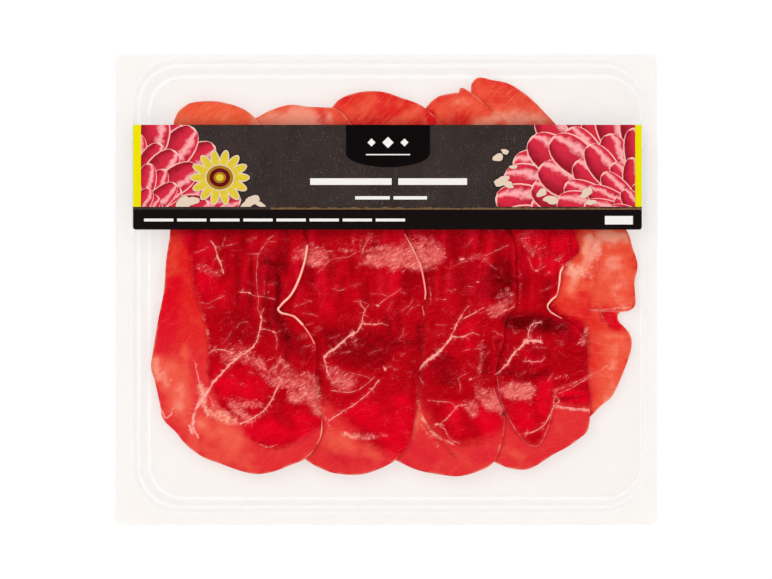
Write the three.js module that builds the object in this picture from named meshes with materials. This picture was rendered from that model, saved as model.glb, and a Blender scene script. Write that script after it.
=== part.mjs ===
// Bresaola: five thin slices of cured beef lying like roof tiles in a shallow clear tray,
// shut by a flat clear lid film that carries one printed label band.
// Millimetres, +Z up. The pack lies on its foot at z = 0, centred in plan.
import * as THREE from "three";

// Tray, as cut from its web: the flange is wider on the left and the bottom than at the top.
const TRAY_LENGTH = 230;
const TRAY_WIDTH = 200;
const TRAY_HEIGHT = 10;
const SHEET = 0.5;
const WALL_SHIFT = 0.4;
const CORNER_STEPS = 8;
const FLANGE_RING = {
  left: -TRAY_LENGTH / 2,
  right: TRAY_LENGTH / 2,
  bottom: -TRAY_WIDTH / 2,
  top: TRAY_WIDTH / 2,
  radius: 3,
};
const RIM_RING = { left: -107.9, right: 110.8, bottom: -94.8, top: 98.2, radius: 19.5 };
const BASE_RING = { left: -101.6, right: 109.0, bottom: -89.6, top: 91.4, radius: 15 };

// The wall between rim and base: share of the way inward, then height of the inner face.
const WALL_LEVELS = [
  [0.0, TRAY_HEIGHT],
  [0.06, TRAY_HEIGHT - 0.6],
  [0.3, 6.4],
  [0.36, 6.0],
  [0.6, 5.8],
  [0.66, 5.3],
  [0.88, 1.7],
  [0.94, 0.9],
  [1.06, SHEET],
];

// Lid film and label: touching sheets are kept this far apart.
const GAP = 0.3;
const FILM_THICKNESS = 0.3;
const LABEL_THICKNESS = 0.25;
const LABEL_RING = { left: -107.4, right: 108.6, bottom: 25.4, top: 69.9, radius: 1.6 };

// Slices: each lies over its right-hand neighbour, a constant step above it.
const SLICE_THICKNESS = 1.4;
const SLICE_STEP = 1.9;
const SLICE_SIDES = 48;
const SLICE_RINGS = 8;
const BED_START = -84;
const BED_END = 35;
const BED_SLOPE = (3 * SLICE_STEP) / (BED_END - BED_START);
const BED_TAIL_SLOPE = 0.012;
const BED_HEIGHT = SHEET + GAP + 0.75;

// Broad waves that all slices share: height, wavelengths along x and y, phase in radians.
const BED_WAVES = [
  { height: 0.28, alongX: 64, alongY: 190, phase: 0.4 },
  { height: 0.18, alongX: -95, alongY: 58, phase: 1.7 },
  { height: 0.12, alongX: 31, alongY: -120, phase: 2.6 },
];

// Each outline is an oval, leant over, with a few slow waves in its radius as
// [order, cosine share, sine share] and dents as [degrees, share, width in degrees].
const SLICES = [
  {
    name: "slice_1",
    centre: [-64.6, -6.2],
    half: [41.4, 62.8],
    lean: -0.25,
    waves: [
      [2, -0.259, 0.218],
      [3, -0.089, -0.084],
      [4, -0.04, 0.005],
      [5, 0.003, 0.025],
    ],
    dents: [[-5, 0.14, 9]],
  },
  {
    name: "slice_2",
    centre: [-33.5, -1.1],
    half: [47.9, 82.3],
    lean: -0.05,
    waves: [
      [2, 0.042, -0.063],
      [3, -0.015, -0.031],
      [4, -0.02, -0.012],
      [5, 0.027, 0.011],
    ],
    dents: [],
  },
  {
    name: "slice_3",
    centre: [6.0, 1.2],
    half: [45.2, 86.4],
    lean: -0.33,
    waves: [
      [2, 0.077, 0.174],
      [3, -0.027, 0.013],
      [4, 0.004, 0.061],
      [5, 0.028, 0.003],
    ],
    dents: [],
  },
  {
    name: "slice_4",
    centre: [41.7, -1.0],
    half: [45.8, 66.9],
    lean: -0.52,
    waves: [
      [2, -0.079, 0.347],
      [3, -0.066, 0.023],
      [4, -0.108, 0.023],
      [5, 0.01, -0.005],
    ],
    dents: [[-12, 0.12, 8]],
  },
  {
    name: "slice_5",
    centre: [68.0, 10.4],
    half: [33.6, 71.0],
    lean: -0.26,
    waves: [
      [2, -0.041, 0.125],
      [3, 0.106, -0.059],
      [4, -0.023, 0.033],
      [5, 0.021, 0.045],
    ],
    dents: [[-20, 0.08, 8]],
  },
];

const MEAT = new THREE.MeshStandardMaterial({ color: 0xb3261c, roughness: 0.38, metalness: 0 });
const CLEAR_TRAY = new THREE.MeshStandardMaterial({ color: 0xf4f1ee, roughness: 0.15, metalness: 0 });
const CLEAR_FILM = new THREE.MeshStandardMaterial({ color: 0xf8f8f8, roughness: 0.08, metalness: 0 });
const LABEL_PRINT = new THREE.MeshStandardMaterial({ color: 0x3c3634, roughness: 0.5, metalness: 0 });

// A mesh from a list of corners and a list of triangles.
function meshOf(name, corners, triangles, material) {
  const geometry = new THREE.BufferGeometry();
  geometry.setAttribute("position", new THREE.Float32BufferAttribute(corners.flat(), 3));
  geometry.setIndex(triangles.flat());
  geometry.computeVertexNormals();
  const mesh = new THREE.Mesh(geometry, material);
  mesh.name = name;
  return mesh;
}

// The corners of a rounded rectangle at one height, anticlockwise from the right-hand side.
function ringCorners(ring, height) {
  const corners = [];
  const middles = [
    [ring.right - ring.radius, ring.top - ring.radius],
    [ring.left + ring.radius, ring.top - ring.radius],
    [ring.left + ring.radius, ring.bottom + ring.radius],
    [ring.right - ring.radius, ring.bottom + ring.radius],
  ];
  middles.forEach(([x, y], quarter) => {
    for (let step = 0; step <= CORNER_STEPS; step += 1) {
      const angle = (quarter + step / CORNER_STEPS) * (Math.PI / 2);
      corners.push([x + ring.radius * Math.cos(angle), y + ring.radius * Math.sin(angle), height]);
    }
  });
  return corners;
}

// A ring part of the way from one ring to another.
function ringBetween(outer, inner, share) {
  const ring = {};
  for (const key of Object.keys(outer)) {
    ring[key] = outer[key] + (inner[key] - outer[key]) * share;
  }
  return ring;
}

// The same ring grown outward all round.
function ringGrown(ring, by) {
  return {
    left: ring.left - by,
    right: ring.right + by,
    bottom: ring.bottom - by,
    top: ring.top + by,
    radius: ring.radius + by,
  };
}

// A closed body through a row of rings, shut by a fan at its first and its last ring.
function loft(name, rings, material) {
  const count = rings[0].length;
  const corners = rings.flat();
  const triangles = [];
  for (let row = 0; row + 1 < rings.length; row += 1) {
    for (let i = 0; i < count; i += 1) {
      const next = (i + 1) % count;
      const a = row * count + i;
      const b = row * count + next;
      const c = a + count;
      const d = b + count;
      triangles.push([a, b, d], [a, d, c]);
    }
  }
  for (const [row, upward] of [
    [0, false],
    [rings.length - 1, true],
  ]) {
    const middle = [0, 1, 2].map((axis) => rings[row].reduce((sum, p) => sum + p[axis], 0) / count);
    corners.push(middle);
    for (let i = 0; i < count; i += 1) {
      const a = row * count + i;
      const b = row * count + ((i + 1) % count);
      triangles.push(upward ? [a, b, corners.length - 1] : [b, a, corners.length - 1]);
    }
  }
  return meshOf(name, corners, triangles, material);
}

// The tray's outer face goes up from the foot to the flange, its inner face back down.
function trayMesh() {
  const outside = WALL_LEVELS.map(([share, height]) =>
    ringCorners(ringGrown(ringBetween(RIM_RING, BASE_RING, share), WALL_SHIFT), height - SHEET),
  );
  const inside = WALL_LEVELS.map(([share, height]) =>
    ringCorners(ringBetween(RIM_RING, BASE_RING, share), height),
  );
  const flange = [TRAY_HEIGHT - SHEET, TRAY_HEIGHT].map((height) => ringCorners(FLANGE_RING, height));
  return loft("tray", [...outside.reverse(), ...flange, ...inside], CLEAR_TRAY);
}

// A flat sheet of one thickness with rounded corners.
function sheetMesh(name, ring, bottom, thickness, material) {
  return loft(name, [ringCorners(ring, bottom), ringCorners(ring, bottom + thickness)], material);
}

// The height of a slice's lower face: one bed for all, less a step for each slice above it.
function bedHeight(x, y, index) {
  const climb = SLICE_STEP + BED_SLOPE * (Math.min(x, BED_END) - BED_START);
  const tail = BED_TAIL_SLOPE * Math.max(x - BED_END, 0);
  const waves = BED_WAVES.reduce((sum, wave) => {
    const turn = 2 * Math.PI * (x / wave.alongX + y / wave.alongY) + wave.phase;
    return sum + wave.height * Math.sin(turn);
  }, 0);
  return BED_HEIGHT + climb + tail + waves - SLICE_STEP * index;
}

// The radius share of a slice's outline at one angle.
function outlineShare(slice, angle) {
  let share = 1;
  for (const [order, cosine, sine] of slice.waves) {
    share += cosine * Math.cos(order * angle) + sine * Math.sin(order * angle);
  }
  for (const [degrees, depth, width] of slice.dents) {
    let away = (angle * 180) / Math.PI - degrees;
    away -= 360 * Math.round(away / 360);
    share -= depth * Math.exp(-((away / width) ** 2));
  }
  return share;
}

// A thin wavy solid: both faces are the same net of triangles, joined by a rim.
function sliceMesh(slice, index) {
  const corners = [];
  const triangles = [];
  const faceSize = 1 + SLICE_SIDES * SLICE_RINGS;
  for (const lift of [0, SLICE_THICKNESS]) {
    for (let ring = 0; ring <= SLICE_RINGS; ring += 1) {
      for (let side = 0; side < (ring ? SLICE_SIDES : 1); side += 1) {
        const angle = (2 * Math.PI * side) / SLICE_SIDES;
        const share = outlineShare(slice, angle) * (ring / SLICE_RINGS);
        const u = slice.half[0] * share * Math.cos(angle);
        const v = slice.half[1] * share * Math.sin(angle);
        const x = slice.centre[0] + u + slice.lean * v;
        const y = slice.centre[1] + v;
        corners.push([x, y, bedHeight(x, y, index) + lift]);
      }
    }
  }
  const at = (ring, side) => (ring ? 1 + (ring - 1) * SLICE_SIDES + (side % SLICE_SIDES) : 0);
  for (let side = 0; side < SLICE_SIDES; side += 1) {
    const net = [[at(0, 0), at(1, side), at(1, side + 1)]];
    for (let ring = 1; ring < SLICE_RINGS; ring += 1) {
      const [a, b] = [at(ring, side), at(ring, side + 1)];
      const [c, d] = [at(ring + 1, side), at(ring + 1, side + 1)];
      net.push([a, c, d], [a, d, b]);
    }
    for (const [a, b, c] of net) {
      triangles.push([a + faceSize, b + faceSize, c + faceSize], [a, c, b]);
    }
    const [low, lowNext] = [at(SLICE_RINGS, side), at(SLICE_RINGS, side + 1)];
    triangles.push([low, lowNext, lowNext + faceSize], [low, lowNext + faceSize, low + faceSize]);
  }
  return meshOf(slice.name, corners, triangles, MEAT);
}

const pack = new THREE.Group();
pack.name = "bresaola";
pack.add(trayMesh());
SLICES.forEach((slice, index) => pack.add(sliceMesh(slice, index)));
const filmBottom = TRAY_HEIGHT + GAP;
pack.add(sheetMesh("lid_film", FLANGE_RING, filmBottom, FILM_THICKNESS, CLEAR_FILM));
const labelBottom = filmBottom + FILM_THICKNESS + GAP;
pack.add(sheetMesh("label", LABEL_RING, labelBottom, LABEL_THICKNESS, LABEL_PRINT));

export default pack;
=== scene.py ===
import math

import bmesh
import bpy
import numpy as np
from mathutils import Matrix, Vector


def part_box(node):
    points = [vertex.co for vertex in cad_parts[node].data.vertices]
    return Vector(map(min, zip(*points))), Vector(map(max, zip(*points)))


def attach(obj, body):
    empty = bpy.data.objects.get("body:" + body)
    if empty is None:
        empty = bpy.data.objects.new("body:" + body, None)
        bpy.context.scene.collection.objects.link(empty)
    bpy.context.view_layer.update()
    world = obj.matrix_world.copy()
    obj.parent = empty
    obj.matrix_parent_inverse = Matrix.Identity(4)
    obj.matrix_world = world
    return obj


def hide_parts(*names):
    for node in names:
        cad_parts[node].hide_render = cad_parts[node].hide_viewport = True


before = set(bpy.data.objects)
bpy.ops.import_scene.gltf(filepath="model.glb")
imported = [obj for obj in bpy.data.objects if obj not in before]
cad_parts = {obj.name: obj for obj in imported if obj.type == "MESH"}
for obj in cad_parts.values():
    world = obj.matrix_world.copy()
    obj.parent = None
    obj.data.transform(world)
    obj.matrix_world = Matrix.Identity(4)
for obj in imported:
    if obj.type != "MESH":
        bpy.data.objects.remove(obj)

mm = 0.001
fullTurn = 2 * math.pi
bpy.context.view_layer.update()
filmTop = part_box("lid_film")[1].z
print("frame loaded, film top at", round(filmTop / mm, 2), "mm")


def tone(r, g, b):
    # screen colour 0-255 to linear
    def linear(v):
        v /= 255
        return v / 12.92 if v <= 0.04045 else ((v + 0.055) / 1.055) ** 2.4
    return (linear(r), linear(g), linear(b), 1.0)


def newMaterial(name):
    mat = bpy.data.materials.new(name)
    mat.use_nodes = True
    tree = mat.node_tree
    tree.nodes.clear()
    out = tree.nodes.new("ShaderNodeOutputMaterial")
    shader = tree.nodes.new("ShaderNodeBsdfPrincipled")
    tree.links.new(shader.outputs[0], out.inputs[0])
    return mat, tree, shader


def feed(socket, value):
    # a socket is linked, anything else becomes the default
    if isinstance(value, bpy.types.NodeSocket):
        socket.id_data.links.new(value, socket)
    else:
        socket.default_value = value


def setLook(shader, colour, roughness, specular=0.5, alpha=1.0):
    feed(shader.inputs["Base Color"], colour)
    feed(shader.inputs["Roughness"], roughness)
    shader.inputs["Specular IOR Level"].default_value = specular
    shader.inputs["Alpha"].default_value = alpha


def nodeFor(kind, *values):
    # a new node in the tree that one of the values comes from
    return next(v.id_data for v in values if isinstance(v, bpy.types.NodeSocket)).nodes.new(kind)


def calc(operation, a, b=0.0, c=0.0):
    node = nodeFor("ShaderNodeMath", a, b, c)
    node.operation = operation
    for socket, value in zip(node.inputs, (a, b, c)):
        feed(socket, value)
    return node.outputs[0]


def plus(a, b):
    return calc("ADD", a, b)


def times(a, b):
    return calc("MULTIPLY", a, b)


def spread(value, width, middle=0.0):
    # noise from 0 to 1 becomes half the width to either side of the middle
    return calc("MULTIPLY_ADD", value, width, middle - width / 2)


def fade(value, low, high, outLow=0.0, outHigh=1.0):
    node = nodeFor("ShaderNodeMapRange", value)
    node.interpolation_type = "SMOOTHSTEP"
    for socket, v in zip(node.inputs, (value, low, high, outLow, outHigh)):
        feed(socket, v)
    return node.outputs[0]


def mix(share, a, b):
    node = nodeFor("ShaderNodeMix", share, a, b)
    node.data_type = "RGBA"
    for number, value in ((0, share), (6, a), (7, b)):
        feed(node.inputs[number], value)
    return node.outputs[2]


def place(tree, stretch=1, turn=0.0, shift=(0, 0, 0)):
    # the pattern is drawn out along its own x, then turned
    coords = tree.nodes.new("ShaderNodeTexCoord")
    mapping = tree.nodes.new("ShaderNodeMapping")
    mapping.vector_type = "TEXTURE"
    mapping.inputs["Scale"].default_value = (stretch, 1, 1)
    mapping.inputs["Rotation"].default_value = (0, 0, turn)
    mapping.inputs["Location"].default_value = shift
    tree.links.new(coords.outputs["Object"], mapping.inputs["Vector"])
    return mapping.outputs[0]


def noise(vector, size, detail=3.0, rough=0.55):
    # size is the width of one blot in mm
    node = nodeFor("ShaderNodeTexNoise", vector)
    feed(node.inputs["Vector"], vector)
    node.inputs["Scale"].default_value = 1 / (size * mm)
    node.inputs["Detail"].default_value = detail
    node.inputs["Roughness"].default_value = rough
    return node.outputs[0]


def stored(tree, name):
    node = tree.nodes.new("ShaderNodeAttribute")
    node.attribute_name = name
    return node.outputs["Fac"]


def relief(shader, height, strength, depth):
    node = nodeFor("ShaderNodeBump", height)
    node.inputs["Strength"].default_value = strength
    node.inputs["Distance"].default_value = depth * mm
    feed(node.inputs["Height"], height)
    feed(shader.inputs["Normal"], node.outputs[0])


def toMetres(bm, faceUp=False):
    bmesh.ops.scale(bm, vec=(mm, mm, mm), verts=bm.verts)
    if faceUp:
        bmesh.ops.recalc_face_normals(bm, faces=bm.faces)
        if sum(f.normal.z * f.calc_area() for f in bm.faces) < 0:
            bmesh.ops.reverse_faces(bm, faces=bm.faces)


def newObject(name, data):
    made = bpy.data.objects.new(name, data)
    bpy.context.scene.collection.objects.link(made)
    return made


def meshFrom(name, bm, materials=()):
    mesh = bpy.data.meshes.new(name)
    bm.to_mesh(mesh)
    bm.free()
    for mat in materials:
        mesh.materials.append(mat)
    return mesh


def addPiece(name, bm, materials, node, smooth=True):
    mesh = meshFrom(name, bm, materials)
    if smooth:
        mesh.shade_smooth()
    piece = newObject(name, mesh)
    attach(piece, "root")
    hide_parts(node)
    return piece


def addWall(piece, thickness):
    # thickness in mm, below the drawn face
    wall = piece.modifiers.new("wall", "SOLIDIFY")
    wall.thickness = thickness * mm
    wall.offset = -1


def storeValues(piece, name, values):
    layer = piece.data.attributes.new(name, "FLOAT", "POINT")
    layer.data.foreach_set("value", values)


def curvePoint(a, b, c, d, t):
    # Catmull-Rom, part t of the way from b to c
    return 0.5 * (2 * b + (c - a) * t + (2 * a - 5 * b + 4 * c - d) * t * t
                  + (3 * b - a - 3 * c + d) * t ** 3)


def smoothLoop(points, per=8):
    p = np.array(points, float)
    a, b, c, d = (np.roll(p, s, 0) for s in (1, 0, -1, -2))
    return np.stack([curvePoint(a, b, c, d, i / per) for i in range(per)], 1).reshape(-1, 2)


def smoothLine(points, per=4):
    p = np.array(points, float)
    if len(p) < 3:
        return p
    p = np.vstack([2 * p[0] - p[1], p, 2 * p[-1] - p[-2]])
    rows = [curvePoint(*four, i / per) for four in zip(p, p[1:], p[2:], p[3:]) for i in range(per)]
    return np.array(rows + [p[-2]])


def distanceToStretch(off, way):
    # off: the points, seen from the stretch's start; way: from its start to its end
    t = np.clip((off @ way) / max(way @ way, 1e-9), 0, 1)
    return np.hypot(*(off - t[:, None] * way).T)


def distanceToLine(xy, line, closed=False):
    a = np.array(line, float)
    b = np.roll(a, -1, 0)
    if not closed:
        a, b = a[:-1], b[:-1]
    best = np.full(len(xy), np.inf)
    for p, q in zip(a, b):
        best = np.minimum(best, distanceToStretch(xy - p, q - p))
    return best


def insideLoop(xy, loop):
    x, y = xy.T
    inside = np.zeros(len(xy), bool)
    for (x1, y1), (x2, y2) in zip(loop, np.roll(loop, -1, 0)):
        if y1 == y2:
            continue
        hit = (y1 > y) != (y2 > y)
        inside ^= hit & (x < (x2 - x1) * (y - y1) / (y2 - y1) + x1)
    return inside


def signedDistance(xy, loop):
    away = distanceToLine(xy, loop, closed=True)
    return np.where(insideLoop(xy, loop), away, -away)


bed = {  # the same bed as the solids lie on, in mm
    "start": -84, "end": 35, "step": 1.9, "thickness": 1.4, "tail": 0.012, "height": 1.55,
    # height, wavelengths along x and y, phase
    "waves": ((0.28, 64, 190, 0.4), (0.18, -95, 58, 1.7), (0.12, 31, -120, 2.6)),
}


def bedHeight(x, y, index):
    slope = 3 * bed["step"] / (bed["end"] - bed["start"])
    climb = bed["step"] + slope * (np.minimum(x, bed["end"]) - bed["start"])
    z = bed["height"] + climb + bed["tail"] * np.maximum(x - bed["end"], 0) - bed["step"] * index
    for height, alongX, alongY, phase in bed["waves"]:
        z = z + height * np.sin(fullTurn * (x / alongX + y / alongY) + phase)
    return z


# in mm. Where a slice lies on another it is deep in colour: that is its core.
# pale: how pale one layer is; fibres: turn of the fibres; streaky: pale streaks in one layer;
# blur: softness of the core's edge; veins and seams: half width and path
sliceShapes = [
    {"name": "slice1", "pale": 0.0, "fibres": 0.95, "streaky": 0.1, "blur": 1.3, "centre": (-64, -8),
     "outline": [(-90.8, 69.9), (-88.9, 75.4), (-86.1, 78), (-82.7, 79.7), (-75.5, 80.3), (-69.2, 79.7),
                 (-60.3, 76.7), (-53.9, 70.8), (-50.1, 63.5), (-44.6, 51.7), (-39.5, 36.8), (-35.4, 24.9),
                 (-33.1, 18.1), (-33.9, 12.6), (-36.5, 3.3), (-39.5, -2.2), (-42.9, -6), (-45.4, -8),
                 (-44.2, -9.6), (-38.4, -11.3), (-34.4, -15.4), (-29.9, -22.8), (-30.1, -38.7),
                 (-29, -48.9), (-26.9, -58.7), (-29.3, -66.3), (-34.2, -71.9), (-40.7, -74.8),
                 (-48.8, -77.8), (-55.6, -78.6), (-62, -77.3), (-70.2, -74.4), (-78.1, -71.4),
                 (-84.9, -66.5), (-89.7, -60.8), (-95.1, -55.3), (-96.3, -49.8), (-98.5, -39.6),
                 (-100.3, -33.2), (-99.3, -25.8), (-97.2, -12.8), (-94.8, -1), (-93.8, 12.6),
                 (-92.1, 24.9), (-91.7, 42.3), (-91.2, 59.3)],
     "core": [(-84, 28), (-83, 12), (-82, 0), (-79, -9), (-76, -23), (-76, -36), (-74, -43), (-70, -51),
              (-62, -57), (-59, -63), (-53, -67), (-46, -68), (-38, -65), (-32, -61), (-25, -57),
              (-23, -47), (-24, -21), (-29, -9), (-30, -4), (-23, 28)],
     "veins": [
         (0.5, [(-53.3, -11.1), (-53.2, -14.2), (-54.3, -19.6), (-55.2, -22.6)]),
         (0.42, [(-53.3, -11.1), (-53.5, -11.4)]), (0.22, [(-54.7, -8.3), (-53.3, -11.1)]),
         (0.2, [(-52, -8.2), (-53.3, -11.1)]), (0.55, [(-55.2, -22.6), (-58.6, -26), (-62, -28.1)]),
         (0.8, [(-62, -28.1), (-65.4, -30.7), (-67.9, -33.6)]),
         (0.62, [(-67.9, -33.6), (-70.9, -36.6), (-73.8, -40), (-76, -43.4)]),
         (1.4, [(-76, -43.4), (-77.4, -45.5), (-79.4, -48.1)]),
         (1.0, [(-79.4, -48.1), (-81.5, -51.9), (-82.3, -56.1), (-81.9, -59.5)]),
         (0.85, [(-83.8, -58.2), (-82.7, -60.8)]), (0.6, [(-81.9, -59.5), (-80.2, -62.9)]),
         (0.35, [(-77.7, -44.7), (-79.4, -40), (-80.6, -34.9), (-81.5, -30.7)]),
         (0.3, [(-75.5, -45.1), (-74.3, -47.6), (-73.6, -49.8)]),
         (0.36, [(-75.3, -27.1), (-73.4, -25.8), (-70.9, -25.6), (-65.8, -26.8)]),
         (0.42, [(-44.6, -38.3), (-46.3, -42.1), (-48.8, -47.2), (-51.8, -51.5), (-56, -54.4),
                 (-59.4, -56.1)]), (0.6, [(-59.4, -56.1), (-62, -57.2)]),
         (0.25, [(-45, -28.5), (-45.4, -30.7), (-47.1, -32.8), (-48.8, -34.1), (-49.9, -36.6)]),
         (0.2, [(-57.6, 15.1), (-54.1, 15.3), (-53.2, 17), (-50.2, 21.2), (-47.8, 23)]),
         (0.17, [(-54.5, 15.2), (-55, 9.2), (-55, 2), (-54.3, -4.3), (-54.7, -8.2)]),
         (0.3, [(-62.1, -1.1), (-60.6, -1.1), (-58.3, -1.4)]), (0.55, [(-58.3, -1.4), (-58, -1.5)]),
         (0.2, [(-58.3, -1.4), (-55.8, -2.7), (-51.7, -3.2), (-47.5, -4.1)]),
         (0.38, [(-53.5, -16.9), (-51.4, -16.9)]), (0.17, [(-51.4, -16.9), (-48.4, -17.7)]),
         (0.45, [(-48.1, -17.8), (-47.1, -18.4)]), (0.22, [(-47.5, -18.4), (-46.3, -21.7), (-46.7, -25.1)]),
         (0.45, [(-74.3, 20.3), (-72.8, 17.6), (-71.9, 14.4), (-70.4, 10.5), (-69.3, 7.2)]),
         (0.15, [(-81.5, 15.7), (-79.1, 16.4), (-76.1, 18)]),
         (0.2, [(-68.1, 18.6), (-66, 19.2), (-63.9, 19.6)]),
         (0.17, [(-78.8, -5.6), (-75.5, -5.9), (-71, -3.2)]),
         (0.17, [(-63.7, -16.2), (-62, -14.3), (-59, -13.9)]),
         (0.45, [(-96.1, -50.6), (-94.2, -54.6), (-91.9, -53.6), (-90.8, -51)]),
         (0.28, [(-94.6, -54), (-95.9, -56.5)])],
     "seams": [
         (0.48, [(-33.5, 18.6), (-34.4, 13), (-36.1, 7.1), (-38.3, 1.6), (-40.8, -2.7), (-43.8, -5.6),
                 (-45.2, -7.4), (-45.9, -8.4), (-44.6, -9.9), (-41.4, -10.6), (-38.8, -11.6),
                 (-35.6, -14.8)]), (0.22, [(-35.6, -14.8), (-32.6, -19), (-30.5, -23)]),
         (0.22, [(-27.5, -51.9), (-27.2, -57.4), (-27.9, -63.8)])]},
    {"name": "slice2", "pale": 0.0, "fibres": 0.6, "streaky": 0.1, "blur": 2.8, "centre": (-30, -4),
     "outline": [(-54.9, 73.5), (-48.6, 76.7), (-40.7, 78.8), (-33.9, 78), (-26.7, 77.6), (-21.2, 77.1),
                 (-16.5, 72.9), (-11, 63.5), (-4.7, 50.8), (1.7, 36), (7.2, 25.4), (12.7, 15.6), (15.7, 9),
                 (17.4, -1), (15.7, -7.3), (16.5, -10.9), (15.3, -21.3), (14, -37), (12.7, -47.6),
                 (12.3, -54), (9.8, -64.6), (3.9, -72.7), (-5.1, -77.3), (-11, -78.8), (-17.4, -78.8),
                 (-23.8, -77.8), (-31.4, -74.4), (-38.2, -70.1), (-49.2, -68), (-58.1, -64.2),
                 (-68.3, -54.4), (-74.3, -44.7), (-75.5, -34.9), (-77.7, -14.1), (-82.3, -2.2),
                 (-84, 15.6), (-84.4, 24.9), (-81.1, 42.3), (-72.6, 59.3), (-64.1, 68.6)],
     "core": [(-52, 28), (-52, -12), (-40, -28), (-33, -38), (-27, -47), (-20, -54), (-14, -60),
              (-9, -65), (-3, -68), (5, -72), (11, -69), (15, -57), (18, -37), (19, -21), (20, -11),
              (21, -4), (19, 10), (16, 19), (13, 30)],
     "veins": [
         (0.28, [(-11, -4.6), (-10.4, -6.9), (-8.9, -8.4)]), (0.2, [(-7.2, -6.5), (-8.9, -8.4)]),
         (0.38, [(-8.9, -8.4), (-9.7, -11), (-10.4, -14.4)]),
         (0.5, [(-10.4, -14.4), (-11.9, -17.5), (-14.2, -18.8)]), (0.85, [(-13.6, -18.4), (-14.2, -19.2)]),
         (0.6, [(-14.2, -18.8), (-16.5, -20.5), (-19.5, -23.1), (-21.8, -25.4)]),
         (0.85, [(-21.8, -25.4), (-24.6, -26.8), (-26.3, -29)]),
         (0.42, [(-26.3, -29), (-25.9, -31.9), (-24.6, -35.8), (-23.3, -38.3)]),
         (0.4, [(-10.4, -14.4), (-8.1, -14.8), (-5.1, -14.8), (-1.7, -14.4)]),
         (0.2, [(-1.7, -14.4), (0.6, -15.2)]),
         (0.38, [(-3, -38.7), (-7.2, -43.8), (-12.7, -48.5), (-18.2, -51.9), (-22.9, -54.8), (-24.6, -56.1)]),
         (0.28, [(-23.3, -43), (-17.4, -43.8), (-12.3, -43), (-8.5, -40.4), (-5.1, -37.4)]),
         (0.22, [(-3.6, -6.9), (-1.3, -4.9), (0.9, -3.2), (4, -1.5), (6.2, 0.4)]),
         (0.62, [(-3.7, -6.8), (-3.4, -6.9)]), (0.15, [(0.9, -3.2), (-1.7, -1.9), (-5.9, -1.9)]),
         (0.15, [(5.9, -0.8), (8.1, -1.7)]), (0.6, [(-0.8, -33.2), (-0.4, -34.1)]),
         (0.2, [(-0.8, -33.6), (2.1, -32.4)]),
         (0.16, [(-38.6, -7.1), (-35.2, -6), (-32.9, -4.8), (-31.8, -5.2)]),
         (0.16, [(-35.1, -10.1), (-32.3, -10.5), (-29.4, -11.4)]),
         (0.15, [(-25, 12.2), (-22.5, 13), (-19.5, 13.6), (-15.3, 14.3), (-12.7, 15.9)]),
         (0.24, [(-10.1, 15.9), (-8.9, 19), (-7, 22)]), (0.15, [(-29, 7.2), (-27.2, 8.8), (-24.2, 12.2)]),
         (0.13, [(-22.5, 0.3), (-19.9, -0.5), (-17.4, 0.3)]),
         (0.14, [(11.5, -4.3), (9.8, -6.9), (6.8, -9)]), (0.17, [(7.2, 7.5), (8.9, 9.2)])],
     "seams": [
         (0.3, [(8.2, 23.5), (12.2, 15.8), (14.9, 9.4), (16.7, -0.1), (16.6, -4)]),
         (0.2, [(15.6, -7.2), (16.2, -10.9)])]},
    {"name": "slice3", "pale": 0.0, "fibres": 0.75, "streaky": 0.1, "blur": 3.4, "centre": (8, 0),
     "outline": [(-23.1, 77.6), (-18.7, 81.8), (-10.6, 84.3), (-1.3, 84.3), (6.4, 81.8), (14, 79),
                 (19.5, 75), (24.4, 69.9), (30.6, 61.4), (39, 46.6), (46.3, 34.3), (51.8, 24.9),
                 (54.7, 19), (55.2, 6.3), (55.2, -6.9), (51.3, -12), (49.6, -23.9), (46.3, -37),
                 (48.4, -47.6), (50.5, -55.3), (49.4, -64.6), (45.8, -73.5), (39.5, -77.3), (31.4, -79.5),
                 (23.8, -79), (13.2, -76.9), (3.9, -72.7), (-5.9, -68.9), (-14.4, -63.8), (-22.9, -57),
                 (-28.9, -48.9), (-34.4, -34.1), (-38.6, -17.1), (-41.6, 4.1), (-42.9, 24.9),
                 (-38.6, 46.6), (-31.4, 65.7)],
     "core": [(4, 28), (15, -4), (13, -36), (14, -47), (18, -55), (24, -63), (30, -66), (36, -66),
              (42, -64), (50, -60), (56, -54), (54, -47), (52, -37), (56, -24), (59, -12), (61, -7),
              (61, 8), (60, 21), (58, 30)],
     "veins": [
         (0.25, [(34.9, -7.2), (33.7, -8.6), (32.2, -11)]), (0.17, [(34.9, -7.2), (36.4, -6.6)]),
         (0.45, [(32.2, -11), (31, -13), (29.5, -16), (28, -19.9)]),
         (0.62, [(28, -19.9), (25.1, -24), (22.1, -27)]),
         (0.85, [(22.1, -27), (19.1, -29.3), (16.1, -31.5), (14.6, -33.8)]),
         (0.25, [(13.7, -35.9), (14.6, -38), (15.7, -39.8)]), (0.2, [(32.5, -12.5), (33.5, -12.2)]),
         (0.4, [(33.5, -12.2), (37, -10.5), (38.7, -9.6)]),
         (0.18, [(38.7, -9.6), (40.3, -8.4), (41.8, -7.7)]),
         (0.42, [(28, -19.9), (31, -20.2), (33.4, -19.9), (35.5, -19), (37, -18.4)]),
         (0.25, [(37, -18.4), (39.3, -19.3)]),
         (0.22, [(34, -35.9), (31, -37.7), (31.5, -40.4), (31.8, -42.2), (30.9, -43.5)]),
         (0.5, [(35.9, -38.3), (36.3, -38.1)]), (0.22, [(36.1, -38.3), (39.3, -36.9)]),
         (0.5, [(18.2, -47.2), (18.6, -47.2)]), (0.13, [(18.4, -47.2), (26.3, -48.1)]),
         (0.5, [(21.2, -57.5), (21.9, -57.4)]),
         (0.38, [(21.5, -57.5), (23.6, -56.8), (26.3, -54.4), (28.6, -52), (30.1, -49.9), (32.2, -49.2),
                 (34, -49.2)]),
         (0.28, [(23, -58.2), (25.1, -59.7), (26.3, -62.1), (28, -64.2), (30.7, -65.2)]),
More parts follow.
